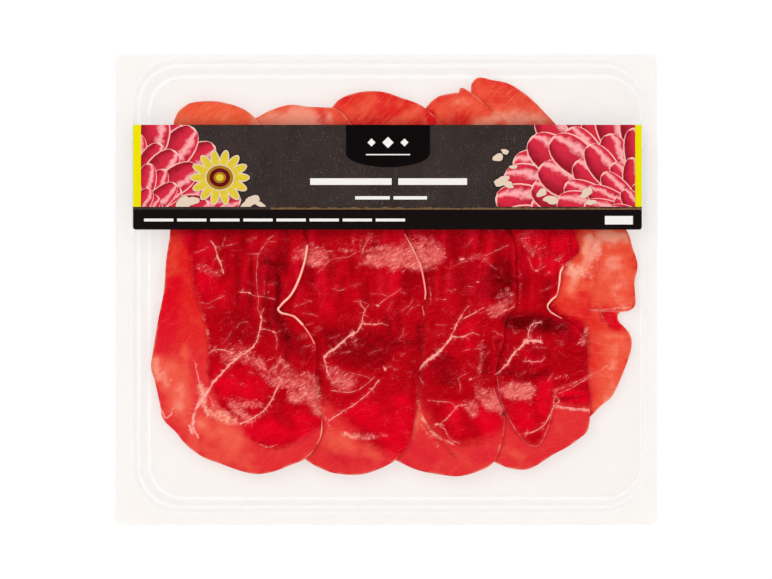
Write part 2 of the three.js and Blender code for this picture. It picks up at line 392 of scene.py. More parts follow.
         (0.17, [(45.9, -42.2), (47.4, -46.6), (49.8, -51.1), (50.4, -54.1), (50.4, -58.5), (49.8, -63)]),
         (0.17, [(18.5, 0.7), (19.1, -2), (19.1, -4.7)]), (0.14, [(21.5, -4.1), (25.1, -4.4)]),
         (0.4, [(24.8, -4.3), (25.2, -4.3)]), (0.4, [(38.9, 3.2), (39.2, 3.2)]),
         (0.16, [(34.9, 1.4), (37, 1.1)]), (0.5, [(32, 12.8), (32.7, 13)]),
         (0.15, [(41.8, 14.3), (46.7, 16.4), (51.9, 18.8)]), (0.15, [(21.6, -15), (25.5, -15.2)])],
     "seams": []},
    {"name": "slice4", "pale": 0.0, "fibres": 0.35, "streaky": 0.1, "blur": 2.0, "centre": (44, -2),
     "outline": [(17, 77.4), (22.1, 82.2), (28, 83.7), (31.2, 84.1), (31.8, 86.1), (34.8, 85),
                 (40.1, 81.1), (47.5, 74.2), (51.3, 71.2), (59, 61.4), (69.6, 44.5), (78.9, 25.4),
                 (82.3, 16.4), (76.4, 10.9), (74.3, 2.9), (72.6, -3.5), (69.2, -6.9), (70.6, -9.4),
                 (75, -12.2), (80.5, -15.6), (84.8, -20.5), (85.4, -26), (85.8, -36.6), (86.9, -51.5),
                 (86.1, -59.7), (82.7, -63.3), (77.2, -67.2), (71.1, -70.5), (61.1, -76.5), (52.6, -76.1),
                 (46, -73.5), (29.3, -66.3), (16.5, -55.3), (9.3, -40.4), (4.2, -17.1), (0.8, 4.1),
                 (0, 24.9), (3.8, 46.6), (9.3, 63.5)],
     "core": [(44, 28), (45, -4), (42, -26), (41, -37), (46, -48), (52, -57), (59, -65), (64, -67),
              (68, -62), (71, -55), (72, -49), (84, -50), (93, -46), (92, -34), (88, -19), (82, -12),
              (76, -9), (73, -8), (75, 0), (79, 10), (86, 17), (84, 30)],
     "veins": [
         (0.45, [(46.8, -36.2), (48.9, -34.4), (51.9, -31.8)]),
         (0.62, [(51.9, -31.8), (53.3, -29), (54.7, -27.1), (57.1, -24.7), (59.7, -22)]),
         (1.5, [(59.3, -22.3), (61.1, -21.7)]), (0.95, [(61.1, -21.7), (63.5, -22), (65.8, -22.4)]),
         (0.35, [(65.8, -22.4), (66, -20.1)]),
         (0.42, [(60.5, -20.5), (60.9, -17.5), (62.4, -14.8), (64.7, -14.1), (66, -13.7)]),
         (0.22, [(61.5, -20.1), (62.2, -17.5), (64.1, -15.2)]),
         (0.38, [(73.8, -47.6), (71.7, -49.8), (70, -53.2), (67.9, -57), (64.5, -59.9), (61.1, -61.2),
                 (59.4, -61.2)]), (0.22, [(70.9, -36.2), (69.2, -38.7)]),
         (0.3, [(73, -42.5), (72.1, -44.7), (73.4, -46.8)]),
         (0.26, [(73.4, -44.2), (78.9, -42.1), (84.4, -38.7), (88.7, -36.2)]),
         (0.4, [(88.7, -36.2), (92.5, -34.5), (94.6, -34.9)]),
         (0.3, [(58.6, -30.7), (61.1, -30.7), (65.8, -30.7), (67.5, -29.4)]),
         (0.14, [(60.6, 13.5), (62.4, 9.2), (64.3, 8), (67.9, 10.1)]), (0.5, [(63.7, 8), (64.5, 8)]),
         (0.14, [(65.4, 13.9), (65.8, 10.9), (64.5, 8.4)]),
         (0.16, [(47.3, -36.2), (48.9, -46.8), (53.7, -57.4), (60, -65.6), (64.8, -66.6), (67.9, -61.6),
                 (70.7, -53.1), (71.5, -46.8)]), (0.45, [(72.8, -49.6), (79.8, -50.6), (86.2, -51.3)]),
         (0.22, [(73.8, -47.2), (71.3, -45.5)])],
     "seams": [
         (0.42, [(75.4, 9.5), (74.3, 7.1), (73.9, 2.4), (73, -2.2), (70.7, -4.3), (69, -6.9), (70.1, -9.3),
                 (72.4, -10.8), (75, -12)])]},
    {"name": "slice5", "pale": 0.12, "fibres": -0.1, "streaky": 0.22, "blur": 1.5, "centre": (68, 8),
     "outline": [(36.3, 84.8), (36.5, 87.7), (39.5, 90.5), (45.4, 89.4), (52.8, 87.7), (61.1, 82.2),
                 (68.7, 74.6), (73, 69.9), (80.2, 60.6), (91.7, 43.6), (102.7, 25.4), (105.2, 18.1),
                 (107.4, 10.5), (106.1, 2.9), (106.5, -6), (104, -9), (99.7, -9.9), (99.3, -13.3),
                 (104, -18.8), (104.8, -24.7), (101.8, -34.1), (96.8, -45.1), (92.1, -49.3), (86.1, -55.3),
                 (76, -63.8), (63.2, -66.3), (52.6, -57.8), (47.1, -42.5), (43.3, -17.1), (39.9, 4.1),
                 (37.3, 24.9), (35.6, 46.6), (34.8, 67.8)],
     "core": [(40, 28), (44, -30), (55, -58), (72, -58), (84, -52), (86, -36), (86, -18), (84, -13),
              (78, -11), (73, -8), (70, -2), (70, 12), (71, 28)],
     "veins": [
         (0.19, [(88.3, 22.8), (90.8, 16), (90, 8)]), (0.17, [(90.8, -8.6), (94.2, -14.5)]),
         (0.21, [(87, -8.6), (92.9, -9.4), (100.6, -9.3)]),
         (0.23, [(94.2, -32.4), (90.8, -34.9), (85.7, -37.4)]),
         (0.17, [(95.9, 11.8), (98.5, 4.1), (97.6, -4.3)])],
     "seams": []},
]

# soft strokes laid on the meat: half width in mm, strength, path
# painted shade along creases, valleys and under the edges of slices lying above; the same strokes also sink
# the surface a little
valleyShadeStrokes = [
    (1.3, 0.35, [(-64, 19), (-63, 4), (-64, -11)]), (1.3, 0.45, [(-58, 17), (-57, 2), (-58, -9)]),
    (3.8, 0.75, [(-50, 12), (-44, 10)]), (1.9, 0.75, [(-46, 8), (-46, 0), (-47, -9)]),
    (2.1, 0.45, [(-44, -12), (-43, -23), (-42, -35)]), (4.7, 0.45, [(-66, -19), (-59, -19)]),
    (1.1, 0.4, [(-29, -20), (-28, -26), (-28, -36)]), (1.1, 0.6, [(-26, -17), (-26, -22)]),
    (1.5, 0.55, [(-28, -36), (-28, -43), (-27, -49)]), (4.2, 0.4, [(-18, -26), (-10, -26), (-2, -28)]),
    (0.5, 0.35, [(-60.7, -59.1), (-54.3, -65.5), (-46.7, -68), (-36.5, -65.5), (-28.4, -59.1)]),
    (1.7, 0.35, [(20, 18), (20, 6), (20, -6)]), (0.6, 0.5, [(23.8, 26.2), (23.8, 13.5)]),
    (5.9, 0.3, [(34, 12), (36, 2)]), (4.2, 0.75, [(48, 3), (52, 4)]), (4.2, 0.5, [(49, 12), (51, 8)]),
    (1.1, 0.4, [(14, -15), (14, -30), (15, -46)]), (1.7, 0.6, [(14, -15), (14, -26)]),
    (6.4, 0.42, [(22, -35), (25, -37)]), (1.7, 0.5, [(48, -22), (48, -36)]),
    (3.6, 0.85, [(52, -13), (60, -14), (68, -16), (75, -16)]), (3.4, 0.4, [(70, -14), (76, -14), (81, -14)]),
    (3, 0.25, [(79, -19), (79, -32)]), (3, 0.55, [(50, -35), (59, -37), (68, -36)]),
    (1.7, 0.45, [(69, 3), (68, -4), (69, -11)]), (2.5, 0.4, [(11, -23), (12, -40)]),
    (1.3, 0.3, [(-76, -23), (-75, -38)]),
    (0.8, 0.35, [(-84, 21.1), (-83.6, 8.4), (-81.9, -2.7), (-77.7, -13.7)]),
    (3.4, 0.3, [(-12, -17), (-14, -23)]), (0.8, 0.3, [(21.2, -64.2), (26.3, -68.9), (33.1, -71.4)]),
    (0.5, 0.35, [(47.5, -45.1), (50.9, -52.7), (56.9, -62.9), (63.7, -67.6)]),
    (0.5, 0.3, [(64.1, -67.6), (68.7, -62.1), (70.9, -55.3), (72.1, -47.6)]),
    (0.8, 0.35, [(66.6, 24.5), (70, 19), (69.2, 11.8)]), (2.1, 0.35, [(4, -4), (6, -17), (6, -26)]),
    (0.8, 0.35, [(90.8, -8.5), (100.1, -8.6)]), (2.5, 0.5, [(0, -12), (2, -23)]),
    (4.2, 0.5, [(42, -25), (42, -35)]),
    (0.9, 0.28, [(70.4, -13.7), (71.7, -21.3), (72.6, -29.8), (72.1, -37.4), (70.4, -45.9), (70, -57.4),
                 (67.5, -67.2)]),
    (1.2, 0.55, [(73, -47), (86, -45)]), (3.2, 0.55, [(-51, -3), (-50, -17)]),
    (4, 0.75, [(-46, -11), (-42, -20)]),
    (4.6, 0.9, [(54, -14), (62, -14), (70, -15)]), (3, 0.3, [(45, -20), (44, -30)]),
    (0.7, 0.45, [(74.7, -22), (79, -27), (85.5, -28.2)]),
    (1, 0.34, [(91, 12), (89, 2), (87, -4), (86, -13)]),
    (0.9, 0.5, [(87, -8.4), (90, -8), (92.1, -9.9), (93.4, -12.8), (95.9, -15.8)]),
    (1.2, 0.35, [(30, 76), (30, 70)]), (1.1, 0.5, [(18, -58), (23, -65), (29, -71)]),
    (1.4, 0.35, [(-26, -68), (-17, -74)]), (1, 0.35, [(36, 77), (35, 70)]),
]
# painted highlights: wet sheen and glints on the meat
shineStrokes = [
    (1.2, 0.34, [(-82, 5), (-79, -6), (-76, -18), (-74, -28)]),
    (1.8, 0.85, [(-79, -41), (-78, -47), (-76, -53)]),
    (2, 0.4, [(-29, -17), (-33, -20), (-36, -19)]), (2.3, 0.8, [(-38, 14), (-29, 14)]),
    (1.5, 0.5, [(-23, 16), (-14, 17)]), (3.6, 0.42, [(-22, 17), (-12, 21), (-4, 22)]),
    (2.5, 0.95, [(-7, 14), (6, 14), (22, 14)]),
    (1.7, 0.8, [(-6, 17), (20, 19)]), (1.9, 0.3, [(-98, -32), (-95, -36), (-92, -39)]),
    (2.4, 0.62, [(-79, 9), (-73, 7)]), (0.6, 0.4, [(-51.8, 4.1), (-51.8, -1.8)]),
    (0.6, 0.35, [(-49.2, 4.1), (-50.1, -1.8)]),
    (2.5, 0.75, [(-45, -30), (-42, -34), (-36, -38), (-32, -43), (-31, -48)]),
    (1.7, 0.6, [(-53, -36), (-50, -40), (-45, -42)]), (1.1, 0.6, [(-64, -29), (-60, -31), (-55, -33)]),
    (0.7, 0.55, [(-65.4, -45.1), (-60.3, -47.2), (-54.3, -48.5)]),
    (2.4, 0.95, [(-66, -49), (-62, -53), (-58, -56)]),
    (0.9, 0.8, [(-77.2, -49.8), (-73.4, -53.6), (-69.6, -56.1)]),
    (0.6, 0.8, [(-53.5, -65.9), (-50.1, -67.2), (-47.1, -66.3)]), (2.1, 0.5, [(-21, -36), (-15, -37)]),
    (0.8, 0.65, [(-16.5, -62.1), (-10.2, -62.9), (-0.8, -61.2)]), (2, 1, [(-31, -47), (-29, -53)]),
    (1.3, 0.6, [(-41, -47), (-34, -48)]), (0.7, 1, [(45, -11.9), (48.9, -9.8), (52.5, -8.3), (54.8, -7.1)]),
    (1.9, 0.6, [(48, -4), (51, 0)]), (1.3, 0.6, [(53, -16), (55, -18), (57, -18)]),
    (0.8, 0.6, [(45.8, -12), (51.3, -9.4), (54.7, -6.5)]),
    (1.6, 0.65, [(32, 13), (39, 14), (43, 13)]), (2.8, 0.85, [(50, -43), (61, -42)]),
    (1.7, 0.6, [(40, -40), (43, -45), (47, -49), (50, -54)]), (1.9, 0.9, [(35, -50), (37, -53)]),
    (1.7, 0.5, [(73, -22), (75, -23)]), (0.9, 0.8, [(83.6, -20.5), (85.3, -16.7)]),
    (0.6, 0.8, [(72.6, -50.2), (79.8, -51), (86.6, -51.5)]), (0.8, 0.5, [(72.6, -37.4), (78.5, -36.6)]),
    (1.3, 0.75, [(77, 6), (82, 8), (87, 9)]), (1.7, 0.6, [(87, 15), (90, 20)]),
    (1.1, 0.35, [(57, 8), (57, -8)]), (4.2, 0.55, [(60, 21), (64, 17)]),
    (2, 0.34, [(13, -50), (16, -58), (22, -66)]),
    (0.8, 0.8, [(13.6, -47.6), (14.2, -51.1), (16.1, -55.3), (18.5, -59.1), (21.2, -62.1), (24.5, -64.2),
                (28.9, -65.9)]),
    (1.7, 0.35, [(4, -29), (10, -26)]), (2, 0.5, [(-14, -20), (-12, -24)]),
    (1.3, 0.35, [(-59, 21), (-55, 23)]),
    (2.1, 0.3, [(-36, -26), (-34, -35)]), (0.8, 0.5, [(93.8, -32.8), (95.5, -34.9)]),
    (0.8, 0.45, [(98.9, -6.5), (104.4, -6)]), (1.7, 0.3, [(-58, -28), (-53, -35)]),
    (0.8, 0.4, [(-67, -35.8), (-59.4, -41.7)]),
    (0.5, 0.5, [(-26.7, -50.2), (-25.5, -56.1), (-23.3, -59.5)]),
    (1.1, 0.7, [(72, -43), (78, -41), (87, -37)]), (0.9, 0.6, [(88, -8.9), (97, -8.3), (104, -7.4)]),
    (2.2, 0.28, [(-99, -31), (-98, -36), (-96, -42)]), (1.6, 0.5, [(92, 20), (90, 13)]),
]
scarletStrokes = [
    (7.2, 0.8, [(-67, -40), (-58, -43)]), (6.8, 0.9, [(-35, -57), (-35, -60)]),
    (6.2, 0.85, [(-57, -60), (-46, -61)]), (5.1, 0.45, [(-76, 0), (-72, -1)]),
    (3.4, 0.8, [(-89, -1), (-91, -12), (-92, -20)]), (5.9, 0.8, [(43, -55), (45, -60)]),
    (3.8, 0.7, [(29, -51), (30, -59)]), (5.9, 0.8, [(6, -49), (7, -60)]),
    (8.5, 0.7, [(-11, -53), (0, -55)]), (6.4, 0.7, [(57, -52), (62, -57)]),
    (5, 0.4, [(-17, 3), (-17, -2)]), (4.2, 0.5, [(35, -17), (36, -23)]),
    (4.2, 0.5, [(4, 6), (5, 0)]), (3.4, 0.5, [(-27, 2), (-24, -9)]), (3, 0.5, [(57, -26), (65, -31)]),
    (3, 0.95, [(75, -45), (86, -46)]), (4, 0.9, [(95, -11), (98, -14)]),
    (2.5, 0.8, [(81, -13), (82, -19)]), (6, 0.75, [(61, 22), (74, 20)]), (5, 0.7, [(61, 11), (70, 12)]),
    (3, 1.1, [(79, 24), (79, 17), (76, 11)]), (4, 0.9, [(-82, 22), (-81, 10), (-77, 3)]),
    (5, 0.75, [(2, -69), (6, -74)]),
    (3, 0.6, [(38, -73), (46, -69)]), (4, 0.8, [(68, -41), (67, -52)]), (3.5, 0.55, [(64, -73), (76, -67)]),
    (4.5, 0.75, [(-21, -72), (-8, -74)]), (4, 0.95, [(10, -67), (20, -72)]),
    (5, 0.8, [(41, -55), (46, -62)]), (5.5, 0.75, [(1, -63), (8, -66)]),
    (4.5, 1.05, [(-90, 2), (-93, -12), (-95, -25)]),
    (3, 0.55, [(-27, 75), (-26, 69)]), (2.4, 1.1, [(19, 75), (20, 69)]),
]
# painted glow: salmon and pale where light shines through one layer
glowStrokes = [
    (6.4, 1.0, [(-92, -34), (-89, -43), (-88, -50)]), (6.5, 0.85, [(-70, -59), (-65, -64)]),
    (4.2, 0.5, [(-83, -64), (-73, -70), (-60, -74)]), (5.1, 0.7, [(-22, -64), (-15, -70), (-6, -72)]),
    (5.1, 0.08, [(10, -72), (23, -75), (36, -76)]), (5.9, 0.06, [(57, -71), (68, -69), (78, -64)]),
    (3, 0.3, [(52, -69), (58, -71)]),
    (11, 0.9, [(96, 17), (98, 0)]), (7.6, 0.8, [(97, -21), (98, -34), (94, -46)]),
    (4.2, 0.22, [(-91, 19), (-93, 4)]), (4.2, 0.8, [(80, 12), (79, 0)]),
    (3.8, 0.5, [(-86, -55), (-81, -64)]), (5.9, 0.7, [(-85, 73), (-77, 77)]),
    (5.9, 0.9, [(-41, 74), (-32, 73)]), (4.2, 0.6, [(57, 76), (68, 72)]), (3, 0.6, [(38, 88), (41, 84)]),
    (3.4, 0.6, [(46, 74), (50, 71)]), (2.5, 0.4, [(-5, 81), (6, 79)]), (2.5, 0.5, [(-86, -26), (-85, -35)]),
    (8, 1.75, [(-52, 70), (-36, 73), (-28, 70)]), (7, 0.95, [(-88, 71), (-72, 75), (-64, 71)]),
    (4.5, 0.55, [(-20, 71), (-6, 81)]), (3, 0.7, [(4, 70), (14, 77)]),
    (5, 0.85, [(20, 72), (32, 80), (42, 74)]), (6, 1.2, [(40, 70), (48, 73), (66, 73)]),
    (6, 0.4, [(38, 88), (52, 82), (66, 72)]), (4.2, 1.25, [(91, 23), (90, 17), (85, 12), (80, 4)]),
    (3, 1.4, [(87, 22), (85, 16)]), (3, 0.9, [(82, 2), (88, 2)]), (4, 1.4, [(92, 23), (102, 22)]),
    (5, 1.1, [(-97, -33), (-93, -40)]), (5, 0.85, [(-80, -56), (-74, -62)]),
    (2.5, 1.1, [(78, 14), (80, 4)]), (2.2, 0.9, [(14, -54), (10, -62), (4, -72)]),
    (3.2, 0.3, [(31, -70), (36, -74)]), (2.6, 1.3, [(-98, -30), (-97, -38)]),
]
# patches: strength, softness of the edge in mm, outline
# painted highlights, in patches
shinePatches = [
    (0.85, 1.2, [(-1, 19), (5, 20), (14, 24), (22, 21), (26, 14), (16, 8), (8, 9), (1, 8), (-1, 15)]),
    (0.74, 0.9, [(-11, 18), (0, 19), (0, 10), (-8, 10), (-11, 14)]),
    (0.8, 1.2, [(-39, 16), (-34, 20), (-26, 19), (-25, 12), (-31, 9), (-36, 12)]),
    (0.74, 1.2, [(-70, -24), (-62, -22), (-55, -27), (-50, -33), (-50, -36), (-55, -34), (-61, -31),
                (-70, -31)]),
    (0.74, 1.2, [(-50, -33), (-44, -31), (-36, -35), (-29, -36), (-29, -41), (-35, -43), (-42, -43),
                 (-49, -40)]),
    (0.9, 1.2, [(-42, -43), (-36, -42), (-29, -40), (-29, -48), (-34, -48), (-41, -48)]),
    (0.6, 0.8, [(-79, -49), (-73, -48), (-65, -52), (-63, -57), (-70, -57), (-76, -54)]),
    (0.74, 0.8, [(-71, -46), (-58, -46), (-52, -48), (-54, -50), (-62, -51), (-66, -48)]),
    (0.9, 0.9, [(50, -40), (54, -38), (63, -40), (64, -43), (62, -47), (55, -47), (50, -46)]),
    (0.72, 0.8, [(43, -8), (48, -4), (54, -1), (55, -5), (50, -10), (45, -11)]),
    (0.85, 0.7, [(38, -39), (45, -42), (49, -48), (50, -52), (45, -52), (40, -49), (37, -44)]),
    (0.76, 1, [(-25, -33), (-18, -34), (-12, -38), (-14, -42), (-20, -43), (-24, -40)]),
    (0.52, 1.8, [(74, 10), (78, 14), (86, 12), (89, 6), (83, 4), (76, 6)]),
    (0.68, 0.7, [(-20, -60), (-13, -61), (-3, -61), (1, -62), (-6, -64), (-17, -63)]),
    (0.8, 1.1, [(33, -48), (36, -46), (39, -48), (39, -54), (36, -54)]),
    (0.6, 0.8, [(-78, 9), (-72, 8), (-71, 6), (-76, 5)]),
    (0.55, 0.9, [(39, -23), (42, -17), (42, -23), (41, -35), (39, -35)]),
    (0.6, 0.7, [(72, 12), (74, 15), (76, 16), (76, 12)]),
    (0.75, 0.8, [(83, -20), (86, -17), (86, -23), (82, -23)]),
]
# painted shade in broad hollows; these patches also sink the surface a little
valleyShadePatches = [
    (0.58, 4, [(-29, -16), (-15, -15), (8, -20), (15, -20), (16, -24), (6, -26), (-2, -34), (-20, -32),
               (-27, -24)]),
    (0.52, 2.4, [(19, -26), (26, -26), (32, -33), (30, -42), (23, -41), (19, -34)]),
    (0.42, 2.6, [(-70, -9), (-59, -8), (-53, -16), (-54, -23), (-64, -22), (-70, -17)]),
    (0.52, 1.6, [(-46, -17), (-36, -19), (-31, -26), (-32, -31), (-41, -28), (-46, -24)]),
    (0.52, 2.4, [(-54, 16), (-45, 18), (-42, 12), (-46, 4), (-54, 2)]),
    (0.62, 2.2, [(44, 12), (54, 12), (54, -4), (47, -5), (41, -2), (41, 5)]),
    (0.42, 1.8, [(71, -16), (87, -15), (86, -26), (78, -23), (72, -20)]),
    (0.25, 1.6, [(72, -23), (86, -26), (86, -35), (74, -35)]),
    (0.35, 1.6, [(48, -23), (69, -23), (70, -36), (50, -37)]),
    (0.4, 1.4, [(26, 24), (36, 24), (36, 12), (27, 12)]),
]


patchEdge = {"steepness": 3, "leastSoft": 0.8, "curveSteps": 3}


def brush(xy, strokes, patches=(), tilt=0.0):
    # the strongest stroke or patch at each point; tilt strengthens the lower side of the patches
    total = np.zeros(len(xy))
    for half, strength, path in strokes:
        total = np.maximum(total, strength * np.exp(-(distanceToLine(xy, path) / half) ** 2))
    for strength, soft, loop in patches:
        ys = [y for x, y in loop]
        weight = np.interp(xy[:, 1], (min(ys), max(ys)), (1 + tilt, 1 - tilt))
        inward = signedDistance(xy, smoothLoop(loop, patchEdge["curveSteps"]))
        steepness = patchEdge["steepness"] / (soft + patchEdge["leastSoft"])
        total = np.maximum(total, strength * weight / (1 + np.exp(-steepness * inward)))
    return total


meat = {
    # tones of one layer, which lets the light through
    "pale": tone(246, 152, 128), "salmon": tone(236, 88, 62), "orange": tone(220, 27, 28),
    "thinRed": tone(216, 4, 28), "thinDark": tone(170, 10, 20), "pinker": tone(240, 112, 124),
    "amber": tone(238, 102, 60), "thinStrand": tone(250, 146, 116), "thinShine": tone(255, 188, 164),
    # tones of two layers or more
    "scarlet": tone(226, 0, 29), "crimson": tone(179, 0, 14), "dark": tone(94, 0, 2),
    "flush": tone(226, 18, 44), "strand": tone(228, 30, 56), "sheenHaze": tone(228, 84, 92),
    "denseSheenHaze": tone(236, 106, 100), "shine": tone(254, 186, 176),
    # tones of the fat
    "fat": tone(238, 122, 118), "fatCore": tone(250, 174, 160), "seam": tone(252, 206, 182),
    "fineFat": tone(228, 66, 78),
    "roughness": (0.34, 0.46), "specular": 0.006, "reliefStrength": 0.55, "reliefDepth": 0.25,
    # mesh, in mm: cell, thickness, depth of valleys and of the edge, how far in the edge sinks
    "grid": 0.95, "wall": 1.1, "sink": 0.35, "sinkWidth": 4.0, "fineWithin": (1.3, 0.7),
    # patterns: how far the core's edge wanders and fades in mm, how far fibres are drawn out
    "wander": 3.4, "coreFade": 0.4, "fibreStretch": 14, "strandStretch": 7, "shineTilt": 0.32,
    # veins, in mm: share of the drawn width, thinnest half width, wobble
    "veinWidth": 0.64, "thinnest": 0.12, "wobble": 0.11,
}
twigs = {  # side branches of veins this thick and long: how many per mm, half width, turn, length
    "veinHalf": 0.3, "veinRun": 3, "perMm": 0.5, "half": 0.13, "turn": (0.5, 1.3), "reach": (0.4, 1.6),
}
hair = {  # forked threads of fat: how many per square mm, half width, steps and turns in mm and radians
    "perSquareMm": 0.006, "half": 0.08, "inside": 0.5, "offScarlet": 0.35, "turn": (0.35, 0.35),
    "steps": (2, 5), "step": (0.9, 2.4), "bend": 0.18, "forkTurn": (0.5, 1.2), "fork": (0.6, 1.6),
}
meatZones = {  # axis, where the zone begins and where it is full, in mm
    "low": ("y", 0, -45), "inner": ("x", 92, 84), "upper": ("y", -14, 2), "aboveLabel": ("y", 60, 72),
    "farLeft": ("x", -38, -58),
}
meatWays = {  # how far a pattern is drawn out, and its turn
    "across": (1, 0), "slanted": (12, 0.75), "scratched": (9, 0.55), "leaning": (3.2, 0.6),
    "upright": (5, 1.5), "level": (6, 0.08),
}
meatGrain = {  # way, width of a blot in mm, detail, roughness
    "cloud": ("across", 6, 2, 0.5), "drift": ("across", 11, 3, 0.6), "speck": ("across", 0.45, 3, 0.75),
    "ripple": ("across", 2.4, 4, 0.65), "breaks": ("across", 4, 3, 0.6), "dots": ("across", 0.7, 2, 0.6),
    "gloss": ("across", 3.2, 4, 0.65), "fray": ("across", 0.7, 3, 0.75), "swell": ("across", 2.4, 3, 0.6),
    "gaps": ("across", 1.5, 3, 0.6), "slant": ("slanted", 0.55, 3, 0.65),
    "hatch": ("scratched", 0.28, 3, 0.7), "glint": ("leaning", 0.5, 4, 0.7),
    "folds": ("upright", 5, 2, 0.5), "threads": ("level", 0.35, 2, 0.6),
    "fibre": ("fibreWay", 0.9, 4, 0.65), "strand": ("strandWay", 0.5, 3, 0.7),
}
meatFibres = [  # pattern, fade from and to; strength and tone in one layer; the same in more
    ("fibre", 0.54, 0.76, 0.16, "salmon", 0.26, "flush"),
    ("fibre", 0.46, 0.26, 0.08, "dark", 0.20, "dark"),
    ("strand", 0.52, 0.74, 0.12, "thinStrand", 0.42, "strand"),
    ("strand", 0.48, 0.27, 0.14, "thinRed", 0.50, "dark"),
]
meatValues = ("core", "vein", "veinSide", "veinHalf", "seam", "rim", "valleyShade", "shine", "scarlet", "glow")


def cellLines(vector, size, bend, width):
    # the edges between cells, bent by noise
    warp = noise(vector, 0.6 * size, 4, 0.5).node.outputs["Color"]
    bent = nodeFor("ShaderNodeVectorMath", vector)
    bent.operation = "MULTIPLY_ADD"
    feed(bent.inputs[0], warp)
    bent.inputs[1].default_value = (bend * mm, bend * mm, bend * mm)
    feed(bent.inputs[2], vector)
    cells = nodeFor("ShaderNodeTexVoronoi", vector)
    cells.feature = "DISTANCE_TO_EDGE"
    feed(cells.inputs["Vector"], bent.outputs[0])
    cells.inputs["Scale"].default_value = 1 / (size * mm)
    return fade(cells.outputs["Distance"], width, width * 0.2)


def meatFields(tree, shape):
    # all that the colours of the meat are made from
    ways = {**meatWays, "fibreWay": (meat["fibreStretch"], shape["fibres"]),
            "strandWay": (meat["strandStretch"], 0.5 * shape["fibres"])}
    m = {name: place(tree, *way) for name, way in ways.items()}
    m.update({name: noise(m[way], *grain) for name, (way, *grain) in meatGrain.items()})
    m.update({name: stored(tree, name) for name in meatValues})
    spot = tree.nodes.new("ShaderNodeSeparateXYZ")
    tree.links.new(m["across"], spot.inputs[0])
    for name, (axis, begin, full) in meatZones.items():
        m[name] = fade(spot.outputs["xy".index(axis)], begin * mm, full * mm)
    m["lean"], m["wide"] = spread(m["cloud"], 1), spread(m["drift"], 1)
    m["wander"] = spread(m["ripple"], meat["wander"])
    m["deep"] = fade(plus(m["core"], m["wander"]), -shape["blur"], shape["blur"] + meat["coreFade"])
    return m


def paintOver(colour, coats):
    for share, toneName in coats:
        colour = mix(share, colour, meat[toneName])
    return colour


def thinMeat(m, shape):
    # one layer lets the light through: red, orange, salmon
    warmth = plus(plus(m["glow"], times(m["lean"], 1.3)), shape["pale"])
    streaks = times(fade(m["fibre"], 0.54, 0.74, 0, shape["streaky"]), fade(warmth, -0.2, 0.8, 0.3, 1.0))
    redder = fade(plus(m["scarlet"], times(m["wide"], 1.7)), 0.1, 0.9)
    pinker = times(times(m["low"], 0.10), m["inner"])
    # above the label the slices are browner, most of all on the left, with slanting fibres
    browner = times(m["aboveLabel"], calc("MULTIPLY_ADD", m["farLeft"], 0.49, 0.06))
    lighter = times(m["aboveLabel"], fade(m["slant"], 0.52, 0.74, 0, 0.34))
    darker = times(m["aboveLabel"], fade(m["slant"], 0.48, 0.30, 0, 0.34))
    return paintOver(mix(fade(warmth, -0.05, 1.0), meat["orange"], meat["salmon"]), [
        (fade(warmth, 0.8, 1.5), "pale"), (streaks, "pale"), (redder, "thinRed"), (pinker, "pinker"),
        (browner, "amber"), (lighter, "pale"), (darker, "thinRed")])


def thickMeat(m):
    # two layers or more: crimson, with scarlet where it is thinner, and upright folds shown only as painted
    # shade and painted light in stripes
    share = plus(m["scarlet"], times(m["lean"], 1.2))
    return paintOver(mix(fade(share, -0.1, 1.0), meat["crimson"], meat["scarlet"]), [
        (times(fade(m["folds"], 0.46, 0.68, 0, 0.4), m["upper"]), "dark"),
        (times(fade(m["folds"], 0.48, 0.30, 0, 0.45), m["upper"]), "flush")])


def withFibres(m, colour):
    drifts = fade(m["drift"], 0.36, 0.60, 0.4, 1.0)
    for pattern, low, high, thin, thinTone, thick, thickTone in meatFibres:
        share = fade(m[pattern], low, high, 0, fade(m["deep"], 0, 1, thin, thick))
        if pattern == "strand":
            share = times(drifts, share)
        colour = mix(share, colour, mix(m["deep"], meat[thinTone], meat[thickTone]))
    return colour


def withMarbling(m, colour):
    # bent cell edges, broken up, with level threads and dots between
    broken = times(fade(m["breaks"], 0.46, 0.62), fade(m["speck"], 0.40, 0.52))
    inner = times(broken, times(m["deep"], fade(m["drift"], 0.44, 0.6)))
    return paintOver(colour, [
        (times(cellLines(m["across"], 9, 7, 0.024), times(broken, 0.35)), "fineFat"),
        (times(cellLines(m["across"], 3.6, 3.4, 0.04), times(inner, 0.4)), "fineFat"),
        (times(fade(m["threads"], 0.69, 0.77, 0, 0.26), fade(m["cloud"], 0.48, 0.6)), "fat"),
        (times(fade(m["dots"], 0.67, 0.74, 0, 0.2), inner), "fat")])


def withShine(m, colour):
    # painted highlights: a sheen haze with gaps through it and sparks of glint on it, only where the brush
    # left painted shine
    present, dense = fade(m["shine"], 0.04, 0.3), fade(m["shine"], 0.60, 0.85)
    share = plus(times(m["shine"], 1.3), spread(m["gloss"], 2.6, -0.05))
    hatching = spread(m["hatch"], 5)
    sheenHaze = fade(plus(share, times(hatching, 0.22)), 0.20, 1.45, 0, fade(dense, 0, 1, 0.70, 0.86))
    sheenGaps = fade(m["hatch"], 0.50, 0.34, 0, 0.5)
    dashes = times(spread(m["glint"], 4.4), fade(dense, 0, 1, 1.0, 0.35))
    sparks = fade(plus(plus(calc("MINIMUM", share, 1.0), hatching), dashes), 1.15, 2.0, 0, 0.85)
    sheenHazeTone = mix(dense, meat["sheenHaze"], meat["denseSheenHaze"])
    for layer, thinTone, thickTone in ((sheenHaze, meat["thinShine"], sheenHazeTone),
                                       (sheenGaps, meat["orange"], meat["crimson"]),
                                       (sparks, meat["thinShine"], meat["shine"])):
        colour = mix(times(layer, present), colour, mix(m["deep"], thinTone, thickTone))
    return colour


